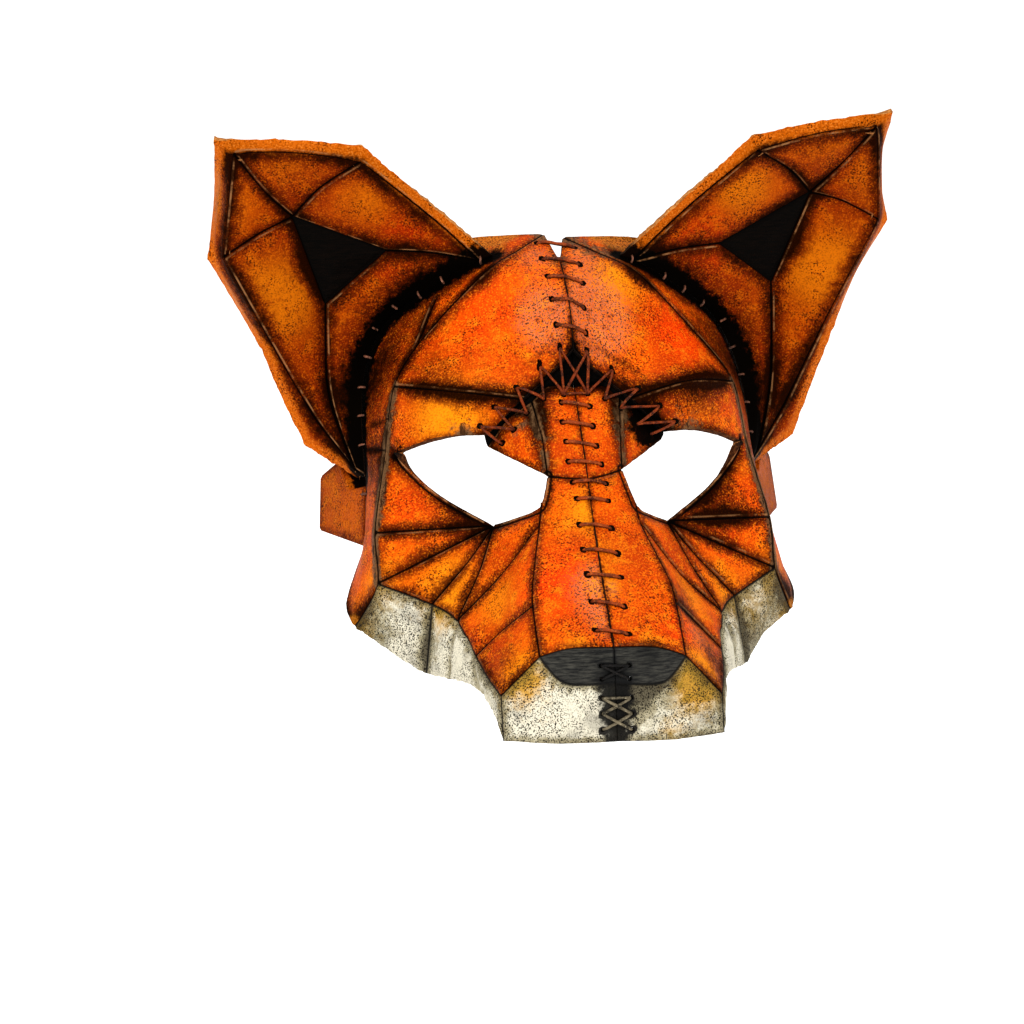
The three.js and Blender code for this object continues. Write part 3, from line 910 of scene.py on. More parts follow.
    def waver(self) -> None:
        """Give the cut edges the waver of a hand-held knife, which fades out inwards."""
        for kind in Line:
            chains = [(made, chain) for made, chain in self.chains if made is kind]
            if not kind.value.ragged or not chains:
                continue
            tree = self.line_tree(chains)
            for v in self.bm.verts:
                spot, _, off = tree.find(v.co)
                share = math.exp(-((off / MM / WAVER_REACH) ** 2))
                if share < WAVER_LEAST:
                    continue
                across = sum((weight * noise.noise_vector(spot / MM * waves)
                              for waves, weight in WAVER_WAVES), Vector())
                across -= v.normal * across.dot(v.normal)
                v.co += across * share * kind.value.ragged * MM
        self.settle_edges()

    def tree(self) -> BVHTree:
        """The outer face, for casting rays at it."""
        return BVHTree.FromBMesh(self.bm)

    def punch(self) -> None:
        """Punch the lace holes through the sheet."""
        bm = self.bm
        soot = bm.verts.layers.float["soot"]
        for hole in self.holes:
            radius = hole.hole * MM
            inside = [f for f in bm.faces if (f.calc_center_median() - hole.point).length < radius]
            ring = list(dict.fromkeys(v for f in inside for v in f.verts))
            bmesh.ops.delete(bm, geom=inside, context="FACES")
            ring = [v for v in ring if v.is_valid]
            pinched = list(dict.fromkeys(f for v in ring if sum(e.is_boundary for e in v.link_edges) > 2
                                         for f in v.link_faces))
            ring = list(dict.fromkeys([*ring, *(v for f in pinched for v in f.verts)]))
            bmesh.ops.delete(bm, geom=pinched, context="FACES")
            for v in (v for v in ring if v.is_valid and v.is_boundary):
                off = v.co - hole.point
                up = off.dot(hole.normal) * hole.normal
                v.co = hole.point + up + (off - up).normalized() * radius
                # The hole's rim is painted black, a painted shade inside the hole.
                v[soot] = HOLE_PAINTED_SHADE
        bm.normal_update()

    def thicken(self) -> None:
        """Round the cut edges over and give the sheet its wall, with fewer points on the flesh side.

        The cream paint is carried over the lower edge onto the flesh side.
        """
        bm = self.bm
        rim_edges = [e for e in bm.edges if e.is_boundary]
        painted = [e.link_faces[0][self.zone] for e in rim_edges]
        rim = list(dict.fromkeys(v for e in rim_edges for v in e.verts))
        outward = {v: Vector() for v in rim}
        for e in rim_edges:
            along = (e.verts[1].co - e.verts[0].co).normalized()
            away = (e.verts[0].co + e.verts[1].co) / 2 - e.link_faces[0].calc_center_median()
            away = (away - along * away.dot(along)).normalized()
            for v in e.verts:
                outward[v] += away
        number = bm.verts.layers.int["number"]
        edge_round = EDGE_ROUND * MM
        made = bmesh.ops.extrude_edge_only(bm, edges=rim_edges)["geom"]
        first = {v[number] for v in rim}
        ring = {v for v in made if isinstance(v, bmesh.types.BMVert)}
        strip = {f for f in made if isinstance(f, bmesh.types.BMFace)}
        for e, beside in zip(rim_edges, painted):
            for f in strip.intersection(e.link_faces):
                f[self.zone] = Zone.EDGE.value if beside == Zone.DYED.value else beside
        shortest = [min(e.calc_length() for e in v.link_edges if e.other_vert(v) not in ring) for v in rim]
        for v, short in zip(rim, shortest):
            v.co -= outward[v].normalized() * min(edge_round, EDGE_SHARE * short)
        count = len(self.inward)
        inward = list(self.inward)
        for i, v in enumerate(sorted(ring, key=lambda v: v[number])):
            down = self.inward[v[number]].normalized()
            v.co += down * edge_round
            v[number] = count + i
            inward.append(down * (self.wall - 2 * edge_round))
        made = bmesh.ops.extrude_face_region(bm, geom=bm.faces[:], use_keep_orig=True)["geom"]
        fresh = {v for v in made if isinstance(v, bmesh.types.BMVert)}
        for v in fresh:
            v.co += inward[v[number]]
        self.settle_inner({v[number]: v for v in fresh})
        for f in bm.faces:
            inner = sum(v in fresh for v in f.verts)
            if inner == len(f.verts):
                f[self.zone] = Zone.FLESH.value
            elif inner:
                f[self.zone] = next((g[self.zone] for e in f.edges for g in e.link_faces
                                     if g is not f and not fresh.intersection(g.verts)), Zone.EDGE.value)
        spare = {v for v in fresh if self.coarse <= v[number] < count and v[number] not in first}
        between = [e for e in bm.edges if spare.issuperset(e.verts)]
        bmesh.ops.dissolve_edges(bm, edges=between, use_verts=True)
        brim = [v.co.copy() for f in bm.faces if f[self.zone] == Zone.CREAM.value for v in f.verts
                if v in fresh and abs(v.co.x) > PAINT_FROM * MM]
        if brim:
            tree = tree_of(brim)
            paint = bm.verts.layers.float["paint"]
            for v in (v for v in bm.verts if v in fresh):
                v[paint] = math.exp(-((tree.find(v.co)[2] / MM / PAINT_TURN) ** 2))
        bmesh.ops.recalc_face_normals(bm, faces=bm.faces[:])
        if bm.calc_volume(signed=True) < 0:
            bmesh.ops.reverse_faces(bm, faces=bm.faces[:])
        for f in bm.faces:
            f.material_index = f[self.zone]
            f.smooth = True

    def settle_inner(self, fresh: dict[int, bmesh.types.BMVert]) -> None:
        """Keep the inner edges where they belong; a plain sheet has none to keep.

        Args:
            fresh: Points of the inner face by number.
        """

    def finish(self, materials: Iterable[bpy.types.Material], slot: str) -> bpy.types.Object:
        """Turn the sheet into a finished piece that stands for its solid.

        Args:
            materials: Materials in the order of Zone.
            slot: Name of a material slot; not used.

        Returns:
            The piece.
        """
        self.punch()
        self.thicken()
        return place_piece(self.name, self.bm, materials, node=self.name.replace("_leather", ""))


class FaceHalf(Sheet):
    """One half of the face, cut in one piece with an eye hole and a brow dart."""

    def __init__(self, side: Side) -> None:
        """Lay out the half's fold net."""
        super().__init__(f"face_half_{side.word}_leather", side, FACE_WALL,
                         FACE_POINTS, FACE_LINES, FACE_BOWS, FACE_FACETS)

    def settle_edges(self) -> None:
        """Draw the seam edge back from the centre plane."""
        gap = SEAM_HALF_GAP * MM
        for v in self.bm.verts:
            v.co.x = self.side.value * max(self.side.value * v.co.x, gap)

    def settle_inner(self, fresh: dict[int, bmesh.types.BMVert]) -> None:
        """Keep the inner face clear of the centre plane.

        Args:
            fresh: Points of the inner face by number.
        """
        self.settle_edges()


class Ear(Sheet):
    """A cupped ear with a turned rim, seated on the temple of its half."""

    def __init__(self, side: Side, half: FaceHalf) -> None:
        """Lay out the ear's fold net.

        Args:
            side: Which side of the mask it is on.
            half: The moulded half that carries it.
        """
        super().__init__(f"ear_{side.word}_leather", side, EAR_WALL,
                         EAR_POINTS, EAR_LINES, EAR_BOWS, EAR_FACETS)
        self.seat_tree = half.tree()

    def seat(self, point: Vector) -> Vector:
        """The place on the half's outer face nearest to a point, raised by the gap."""
        spot, normal, _, _ = self.seat_tree.find_nearest(point)
        return spot + normal * EAR_SEAT_GAP * MM

    def settle_edges(self) -> None:
        """Seat the base edge on the temple."""
        for v in (self.bm.verts[i] for i in self.chain("baseEdge")):
            v.co = self.seat(v.co)

    def settle_inner(self, fresh: dict[int, bmesh.types.BMVert]) -> None:
        """Seat the inner base edge too.

        Args:
            fresh: Points of the inner face by number.
        """
        for i in fresh.keys() & set(self.chain("baseEdge")):
            fresh[i].co = self.seat(fresh[i].co)
        gap = EAR_SEAT_GAP * MM
        for v in fresh.values():
            spot, normal, _, off = self.seat_tree.find_nearest(v.co)
            height = (v.co - spot).dot(normal)
            if height < gap and off * off - height * height < gap * gap:
                v.co = spot + normal * gap


def place_piece(name: str, bm: bmesh.types.BMesh, materials: Iterable[bpy.types.Material],
                node: Optional[str] = None) -> bpy.types.Object:
    """Link a mesh into the scene as a piece of the mask.

    Args:
        name: Name of the piece.
        bm: Its mesh, which is freed.
        materials: Its materials in slot order.
        node: The solid that it stands for, if any.

    Returns:
        The piece.
    """
    mesh = bpy.data.meshes.new(name)
    bm.to_mesh(mesh)
    bm.free()
    for material in materials:
        mesh.materials.append(material)
    piece = bpy.data.objects.new(name, mesh)
    bpy.context.scene.collection.objects.link(piece)
    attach(piece, "root")
    if node:
        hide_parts(node)
    LOG.info("%s: %d faces", name, len(mesh.polygons))
    return piece


@dataclass
class StrapTab:
    """A flat strap tab butted on the rear rim of its half.

    Its top shoulder is tucked in behind the ear's end and painted black as painted shade of the gap there,
    and its seam edge is mitred to the rim.
    """

    side: Side
    flare: float = 24.0
    seam_top: float = 2.2
    seam_end: float = 23.0
    notch_at: float = 10.0
    peak_at: float = 18.5
    peak_rise: float = 9.0
    reach: float = 31.0
    end_top: float = -5.0
    end_low: float = 15.0
    corner: float = 1.2
    gap: float = 0.2
    mitre: float = 0.65
    shoulder: float = 4.2
    shoulder_rise: float = 4.0
    shoulder_cut: float = 2.0
    tuck_blend: float = 1.6
    # Black on the tucked shoulder: painted shade of the gap under the ear's end.
    tuck_soot: float = 1.6
    edge_round: float = 0.4
    burn: float = 0.6
    burn_reach: float = 3.0
    splits: int = 5
    stitch_in: float = 2.0
    stitch_down: tuple[float, ...] = (4.6,)

    def __post_init__(self) -> None:
        """Work out the directions down the seam, back from it and out of the plate."""
        self.top = FACE_POINTS["rimTab"].place(self.side)
        down = (FACE_POINTS["rimTabLow"].place(self.side) - self.top).normalized()
        flare = math.radians(self.flare)
        back = Vector((self.side.value * math.sin(flare), math.cos(flare), 0))
        back = (back - down * back.dot(down)).normalized()
        self.axes = (down, back, down.cross(back) * self.side.value)

    def at(self, down: float, back: float) -> Vector:
        """A place on the outer face of the plate."""
        return self.top + (self.axes[0] * down + self.axes[1] * back) * MM

    def tucked(self, spot: Vector) -> float:
        """How far a place of the plate belongs to the shoulder that is tucked in behind the ear's end.

        Args:
            spot: The place on the flat plate.

        Returns:
            0 on the open plate, 1 on the shoulder.
        """
        down, back = ((spot - self.top).dot(axis) / MM for axis in self.axes[:2])
        slope = (self.seam_top + self.peak_rise) / (self.peak_at - self.notch_at)
        over = self.seam_top - slope * max(back - self.notch_at, 0.0) - down
        share = max(0.0, min(1.0, over / self.tuck_blend))
        return share * share * (3 - 2 * share)

    def stitch_spots(self) -> list[tuple[Vector, Vector]]:
        """Where the stitches enter the plate, and the way out of it."""
        return [(self.at(down, self.gap + self.stitch_in), self.axes[2]) for down in self.stitch_down]

    def build(self, materials: Iterable[bpy.types.Material]) -> bpy.types.Object:
        """Cut the plate, give it its wall and round its edges.

        Args:
            materials: Materials in the order of Zone.

        Returns:
            The piece.
        """
        out = self.axes[2]
        outline = [self.at(*spot) for spot in (
            (self.seam_top, self.gap), (self.seam_end, self.gap),
            (self.end_low, self.reach - self.corner), (self.end_low - self.corner, self.reach),
            (self.end_top + self.corner, self.reach), (self.end_top, self.reach - self.corner),
            (-self.peak_rise, self.peak_at), (-self.peak_rise, self.notch_at + self.shoulder_cut),
            (-self.shoulder_rise, self.gap + self.shoulder_cut))]
        bm = bmesh.new()
        for key in ("fold_mm", "fold_side", *(tone.value for tone in Tone)):
            bm.verts.layers.float.new(key)
        burn, fold, soot = (bm.verts.layers.float[key] for key in ("burn", "fold_mm", "soot"))
        plate = bm.faces.new([bm.verts.new(spot) for spot in outline])
        plate.normal_update()
        if plate.normal.dot(out) < 0:
            plate.normal_flip()
        bmesh.ops.triangulate(bm, faces=[plate])
        for _ in range(self.splits):
            bmesh.ops.subdivide_edges(bm, edges=bm.edges[:], cuts=1, use_grid_fill=True)
        for v in bm.verts:
            sunk_shade = self.tucked(v.co)
            # The tucked shoulder is painted black, a painted shade of the gap under the ear's end.
            v[soot] = self.tuck_soot * sunk_shade
            v.co -= out * sunk_shade * self.shoulder * MM
        lid = bmesh.ops.extrude_face_region(bm, geom=bm.faces[:], use_keep_orig=True)["geom"]
        for v in (v for v in lid if isinstance(v, bmesh.types.BMVert)):
            seam = (v.co - self.top).dot(self.axes[1]) < (self.gap + 0.01) * MM
            v.co -= (out * TAB_WALL + self.axes[1] * (self.mitre if seam else 0.0)) * MM
        bmesh.ops.recalc_face_normals(bm, faces=bm.faces[:])
        for f in bm.faces:
            lean = f.normal.dot(out)
            f.material_index = (Zone.DYED if lean > 0.2 else Zone.FLESH if lean < -0.2 else Zone.EDGE).value
        edges = [e for e in bm.edges if len({f.material_index for f in e.link_faces}) == 2]
        bmesh.ops.bevel(bm, geom=edges, offset=self.edge_round * MM, affect="EDGES", segments=3,
                        profile=0.5, material=-1, clamp_overlap=True)
        for f in bm.faces:
            f.smooth = True
        for v in bm.verts:
            off = min((v.co - intersect_point_line(v.co, a, b)[0]).length
                      for a, b in zip(outline, outline[1:] + outline[:1])) / MM
            v[fold] = NO_FOLD
            v[burn] = self.burn * math.exp(-((off / self.burn_reach) ** 2))
        return place_piece(f"strap_tab_{self.side.word}_leather", bm, materials,
                           node=f"strap_tab_{self.side.word}")


SEAM_STITCHES = """
    left_x left_z right_x right_z
    -6.6 77.4 6.5 75.5
    -6.1 72.6 6.6 70.4
    -5.5 67.1 6.4 64.5
    -5.4 59.9 5.4 56.6
    -5.1 51.6 5.3 48.1
    -5.4 25.8 4.3 24.0
    -5.9 19.6 4.3 17.8
    -5.6 13.4 4.6 11.6
    -5.7 7.2 5.5 5.8
    -5.1 0.7 6.2 -0.3
    -4.5 -4.5 6.2 -5.7
    -4.7 -12.5 6.0 -14.1
    -4.8 -19.9 6.6 -21.6
    -4.9 -27.2 6.3 -28.7
    -4.9 -35.0 5.9 -37.1
    -5.0 -43.2 5.3 -44.8
"""

BROW_HOLES = """
    side upper_x upper_z lower_x lower_z
    left -4.5 44.0 -4.2 28.0
    left -11.5 37.8 -11.3 27.0
    left -20.3 31.0 -17.4 22.4
    left -28.2 24.8 -22.1 17.0
    left -33.4 18.3 -26.2 12.1
    right 4.9 42.6 4.2 28.0
    right 13.7 35.6 9.9 26.2
    right 22.2 28.9 15.0 22.8
    right 29.4 22.6 21.1 17.1
    right 35.1 16.8 26.1 13.0
"""

NOSE_ROWS = """
    left_x left_z right_x right_z
    -4.6 -54.2 4.9 -54.6
    -4.4 -58.8 4.9 -59.2
"""

CHIN_ROWS = """
    left_x left_z right_x right_z
    -4.6 -65.0 5.2 -65.4
    -4.7 -70.2 5.2 -70.7
    -4.8 -75.6 5.2 -76.1
"""


@dataclass(frozen=True)
class Dirt:
    """Painted shade on a lace: dark on its underside and where it goes into a hole."""

    level: float = 0.5
    lean: float = 1.1
    most: float = 0.9
    hole_level: float = 0.25
    hole_slope: float = 1.4
    hole_reach: float = 1.6

    def on(self, v: bmesh.types.BMVert, end: Anchor) -> float:
        """How dark a point of a lace is.

        Args:
            v: The point.
            end: The hole nearest to it.

        Returns:
            0 for no painted shade, as on the flesh side, and 1 for black.
        """
        off = end.point - v.co
        deep = off.dot(end.normal)
        if deep > end.wall:
            return 0.0
        under = max(0.0, min(self.most, self.level - self.lean * v.normal.dot(end.normal)))
        if (off - end.normal * deep).length < self.hole_reach * end.hole * MM:
            return max(under, min(1.0, self.hole_level + self.hole_slope * deep / MM))
        return under


@dataclass
class Lacing:
    """The thong laces of the mask, each stitch an arch between two holes with a knot behind each.

    The rests are places along a stitch, as shares of its length, with the
    part of the radius by which the lace's middle stands over the leather.
    """

    halves: dict[Side, FaceHalf]
    ears: dict[Side, Ear]
    stitches: dict[str, list[tuple[Anchor, Anchor]]] = field(default_factory=dict)
    kinds: dict[str, Lace] = field(default_factory=dict)
    # Painted shade on the laces, underneath them and inside their holes.
    dirt: Dirt = Dirt()
    rests: tuple[tuple[float, float], ...] = ((0.1, 0.4), (0.3, 0.9), (0.5, 0.9), (0.7, 0.9), (0.9, 0.4))
    entry: float = 0.9
    aside: float = 0.15
    climb: float = 0.6
    clear: float = 2.0
    uneven: float = 0.3
    uneven_waves: float = 0.6

    def __post_init__(self) -> None:
        """Keep the outer faces for casting rays."""
        self.trees = {sheet.name: sheet.tree() for sheet in (*self.halves.values(), *self.ears.values())}

    def on_face(self, x: float, z: float, lace: Lace) -> Anchor:
        """The hole in a face half at a place seen straight from the front."""
        half = self.halves[Side.LEFT if x < 0 else Side.RIGHT]
        start = Vector((x, -200.0, z)) * MM
        spot, normal, _, _ = self.trees[half.name].ray_cast(start, Vector((0, 1, 0)))
        if spot is None:
            spot, normal, _, _ = self.trees[half.name].find_nearest(Vector((x, 22.0, z)) * MM)
        return Anchor(half, spot, normal, lace.value.hole)

    def pairs(self, table: str, lace: Lace) -> list[tuple[Anchor, Anchor]]:
        """Holes of a table of pairs, two places seen from the front in each row."""
        numbers = [[float(word) for word in row[-4:]] for row in rows(table)]
        return [(self.on_face(xa, za, lace), self.on_face(xb, zb, lace)) for xa, za, xb, zb in numbers]

    def add(self, group: str, lace: Lace, *pairs: tuple[Anchor, Anchor]) -> None:
        """Note some stitches and their holes."""
        self.stitches.setdefault(group, []).extend(pairs)
        self.kinds[group] = lace
        for anchor in (anchor for pair in pairs for anchor in pair if anchor.sheet):
            if all((anchor.point - old.point).length > anchor.hole * MM for old in anchor.sheet.holes):
                anchor.sheet.holes.append(anchor)

    def plan(self, tabs: Iterable["StrapTab"]) -> None:
        """Work out every stitch before the holes are punched.

        Args:
            tabs: The strap tabs.
        """
        self.add("seam_laces", Lace.SEAM, *self.pairs(SEAM_STITCHES, Lace.SEAM))
        brow = self.pairs(BROW_HOLES, Lace.BROW)
        sides = [[pair for pair in brow if pair[0].sheet is half] for half in self.halves.values()]
        for holes in sides:
            for (up, low), (next_up, _) in zip(holes, holes[1:]):
                self.add("brow_laces", Lace.BROW, (up, low), (low, next_up))
            self.add("brow_laces", Lace.BROW, holes[-1])
        (left_up, left_low), (right_up, right_low) = (holes[0] for holes in sides)
        self.add("brow_laces", Lace.BROW, (left_up, right_low), (right_up, left_low), (left_low, right_low))
        for group, table in (("nose_laces", NOSE_ROWS), ("chin_laces", CHIN_ROWS)):
            holes = self.pairs(table, Lace.CHIN)
            self.add(group, Lace.CHIN, holes[0])
            for (left, right), (low_left, low_right) in zip(holes, holes[1:]):
                self.add(group, Lace.CHIN, (left, low_right), (right, low_left))
        for side, ear in self.ears.items():
            self.plan_ear(ear, self.halves[side])
        for tab in tabs:
            half = self.halves[tab.side]
            for spot, out in tab.stitch_spots():
                across = spot - tab.axes[1] * 2 * tab.stitch_in * MM
                near, normal, _, _ = self.trees[half.name].find_nearest(across)
                self.add(f"ear_laces_{tab.side.word}", Lace.EAR,
                         (Anchor(None, spot, out, Lace.EAR.value.hole),
                          Anchor(half, near, normal, Lace.EAR.value.hole)))

    def plan_ear(self, ear: Ear, half: FaceHalf, corner: float = 4.0, first: float = 20.0,
                 pitch: float = 10.5, reach: float = 1.5) -> None:
        """Stitches along the base of an ear.

        Args:
            ear: The ear.
            half: The half that carries it.
            corner: Millimetres along the base to the stitch at its corner.
            first: Millimetres along the base to the first stitch of the row.
            pitch: Millimetres from stitch to stitch.
            reach: Millimetres from the seam to the holes.
        """
        chain = [ear.bm.verts[i] for i in ear.chain("baseEdge")]
        whole = sum((b.co - a.co).length for a, b in zip(chain, chain[1:])) / MM
        run, due = 0.0, corner
        for before, at, after in zip(chain, chain[1:], chain[2:]):
            run += (at.co - before.co).length / MM
            if run < due or run > whole - corner:
                continue
            due = first if due == corner else due + pitch
            along = (after.co - before.co).normalized()
            inward = sum((f.calc_center_median() - at.co for f in at.link_faces), Vector())
            inward = (inward - along * inward.dot(along)).normalized()
            _, face_normal, _, _ = self.trees[half.name].find_nearest(at.co)
            across = face_normal.cross(along)
            across *= -1 if across.dot(inward) > 0 else 1
            holes = []
            for sheet, way in ((ear, inward), (half, across)):
                spot, normal, _, _ = self.trees[sheet.name].find_nearest(at.co + way * reach * MM)
                holes.append(Anchor(sheet, spot, normal, Lace.EAR.value.hole))
            self.add(f"ear_laces_{ear.side.word}", Lace.EAR, (holes[0], holes[1]))

    def knot(self, end: Anchor, aside: Vector) -> list[Vector]:
        """Points of the knot that stops a hole on the flesh side, one for each of KNOT_RADII.

        Args:
            end: The hole.
            aside: How far the knot lies off the hole's axis.

        Returns:
            Points from the knot's far end to the leather.
        """
        return [end.point - end.normal * (end.wall + deep * MM) + aside for deep in KNOT_DEPTHS]

    def path(self, a: Anchor, b: Anchor, lace: Thong, arch: float) -> list[Vector]:
        """The centre line of one stitch.

        Args:
            a: The first hole.
            b: The second hole.
            lace: Sizes of the lace.
            arch: Millimetres that the middle stands over the leather.

        Returns:
            Points from behind the first hole to behind the second.
        """
        trees = [self.trees[anchor.sheet.name] for anchor in (a, b) if anchor.sheet]
        over = lace.radius * MM
        high = self.climb * (b.point - a.point).length + self.clear * MM
        apart = (b.point - a.point).normalized() * self.aside * MM
        points = [*self.knot(a, apart), a.point - a.normal * self.entry * MM]
        for share, part in self.rests:
            up = a.normal.lerp(b.normal, share).normalized()
            base = a.point.lerp(b.point, share)
            heights = [0.0]
            for tree in trees:
                spot, _, _, _ = tree.ray_cast(base + up * high, -up, 2 * high)
                if spot is not None:
                    heights.append((spot - base).dot(up))
            lift = max(heights) + over * part
            points.append(base + up * (lift + arch * MM * math.sin(math.pi * share)))
        return [*points, b.point - b.normal * self.entry * MM, *reversed(self.knot(b, -apart))]

    def build(self, group: str, material: bpy.types.Material, slot: str) -> bpy.types.Object:
        """Make the laces of one group as one piece.

        Args:
            group: Name of the group and of the piece.
            material: The thong's material.
            slot: Name of a material slot; not used.

        Returns:
            The piece.
        """
        lace = self.kinds[group].value
        curve = bpy.data.curves.new(group, "CURVE")
        curve.dimensions = "3D"
        curve.bevel_depth = lace.radius * MM
        curve.bevel_resolution = 3
        curve.resolution_u = 5
        curve.use_fill_caps = True
        for n, (a, b) in enumerate(self.stitches[group]):
            points = self.path(a, b, lace, lace.arch + lace.over * (n % 2))
            spline = curve.splines.new("BEZIER")
            spline.bezier_points.add(len(points) - 1)
            plain = [1.0 + self.uneven * noise.noise(point / MM * self.uneven_waves)
                     for point in points[len(KNOT_RADII):-len(KNOT_RADII)]]
            radii = (*KNOT_RADII, *plain, *KNOT_RADII[::-1])
            for place, point, radius in zip(spline.bezier_points, points, radii):
                place.co = point
                place.handle_left_type = place.handle_right_type = "AUTO"
                place.radius = radius
        rope = bpy.data.objects.new(group, curve)
        bpy.context.scene.collection.objects.link(rope)
        graph = bpy.context.evaluated_depsgraph_get()
        bm = bmesh.new()
        bm.from_mesh(rope.evaluated_get(graph).to_mesh())
        bpy.data.objects.remove(rope)
        bpy.data.curves.remove(curve)
        bmesh.ops.remove_doubles(bm, verts=bm.verts[:], dist=1e-6)
        for f in bm.faces:
            f.material_index = 0
            f.smooth = True
        ends = [end for pair in self.stitches[group] for end in pair]
        tree = tree_of([end.point for end in ends])
        # Each point of a lace gets its painted shade: dark underneath and inside its hole.
        sunk_shade = bm.verts.layers.float.new("sunk_shade")
        bm.normal_update()
        for v in bm.verts:
            _, i, _ = tree.find(v.co)
            v[sunk_shade] = self.dirt.on(v, ends[i])
        return place_piece(group, bm, [material])


def linear(code: str) -> tuple[float, float, float, float]:
    """Turn an sRGB hex colour into linear light.

    Args:
        code: Six hex digits after a hash sign.

    Returns:
        Red, green, blue and a full alpha.
    """
    parts = [int(code[i:i + 2], 16) / 255 for i in (1, 3, 5)]
    return (*(c / 12.92 if c <= 0.04045 else ((c + 0.055) / 1.055) ** 2.4 for c in parts), 1.0)


class Graph:
    """The node tree of one material, with its shader ready to be fed."""

    def __init__(self, name: str) -> None:
        """Start a material with a plain shader."""
        self.material = bpy.data.materials.new(name)
        self.material.use_nodes = True
        self.tree = self.material.node_tree
        self.shader = next(n for n in self.tree.nodes if n.type == "BSDF_PRINCIPLED")
        self.where = self.add("ShaderNodeTexCoord", 3)

    def add(self, kind: str, out: int | str = 0, links: Optional[dict[Any, Any]] = None,
            **settings: Any) -> bpy.types.NodeSocket:
        """Add a node with its settings and links.

        Args:
            kind: Type name of the node.
            out: Output to give back.
            links: Values or sockets by input name or number.
            settings: Properties of the node.

        Returns:
            The chosen output socket.
        """
        node = self.tree.nodes.new(kind)
        for key, value in settings.items():
            setattr(node, key, value)
        for key, value in (links or {}).items():
            self.feed(node.inputs[key], value)
        return node.outputs[out]

    def feed(self, socket: bpy.types.NodeSocket, value: Any) -> None:
        """Link a socket, or set its value, taking a hex code as a colour."""
        if isinstance(value, bpy.types.NodeSocket):
            self.tree.links.new(value, socket)
        else:
            socket.default_value = linear(value) if isinstance(value, str) else value

    def coats(self, base: Any, *coats: tuple[Any, str]) -> bpy.types.NodeSocket:
        """Lay colours over each other.

        Args:
            base: The first colour.
            coats: Share and colour of each coat, from the lowest.

        Returns:
            The colour on top.
        """
        for share, colour in coats:
            base = self.add("ShaderNodeMix", 2, {0: share, 6: base, 7: colour}, data_type="RGBA")
        return base


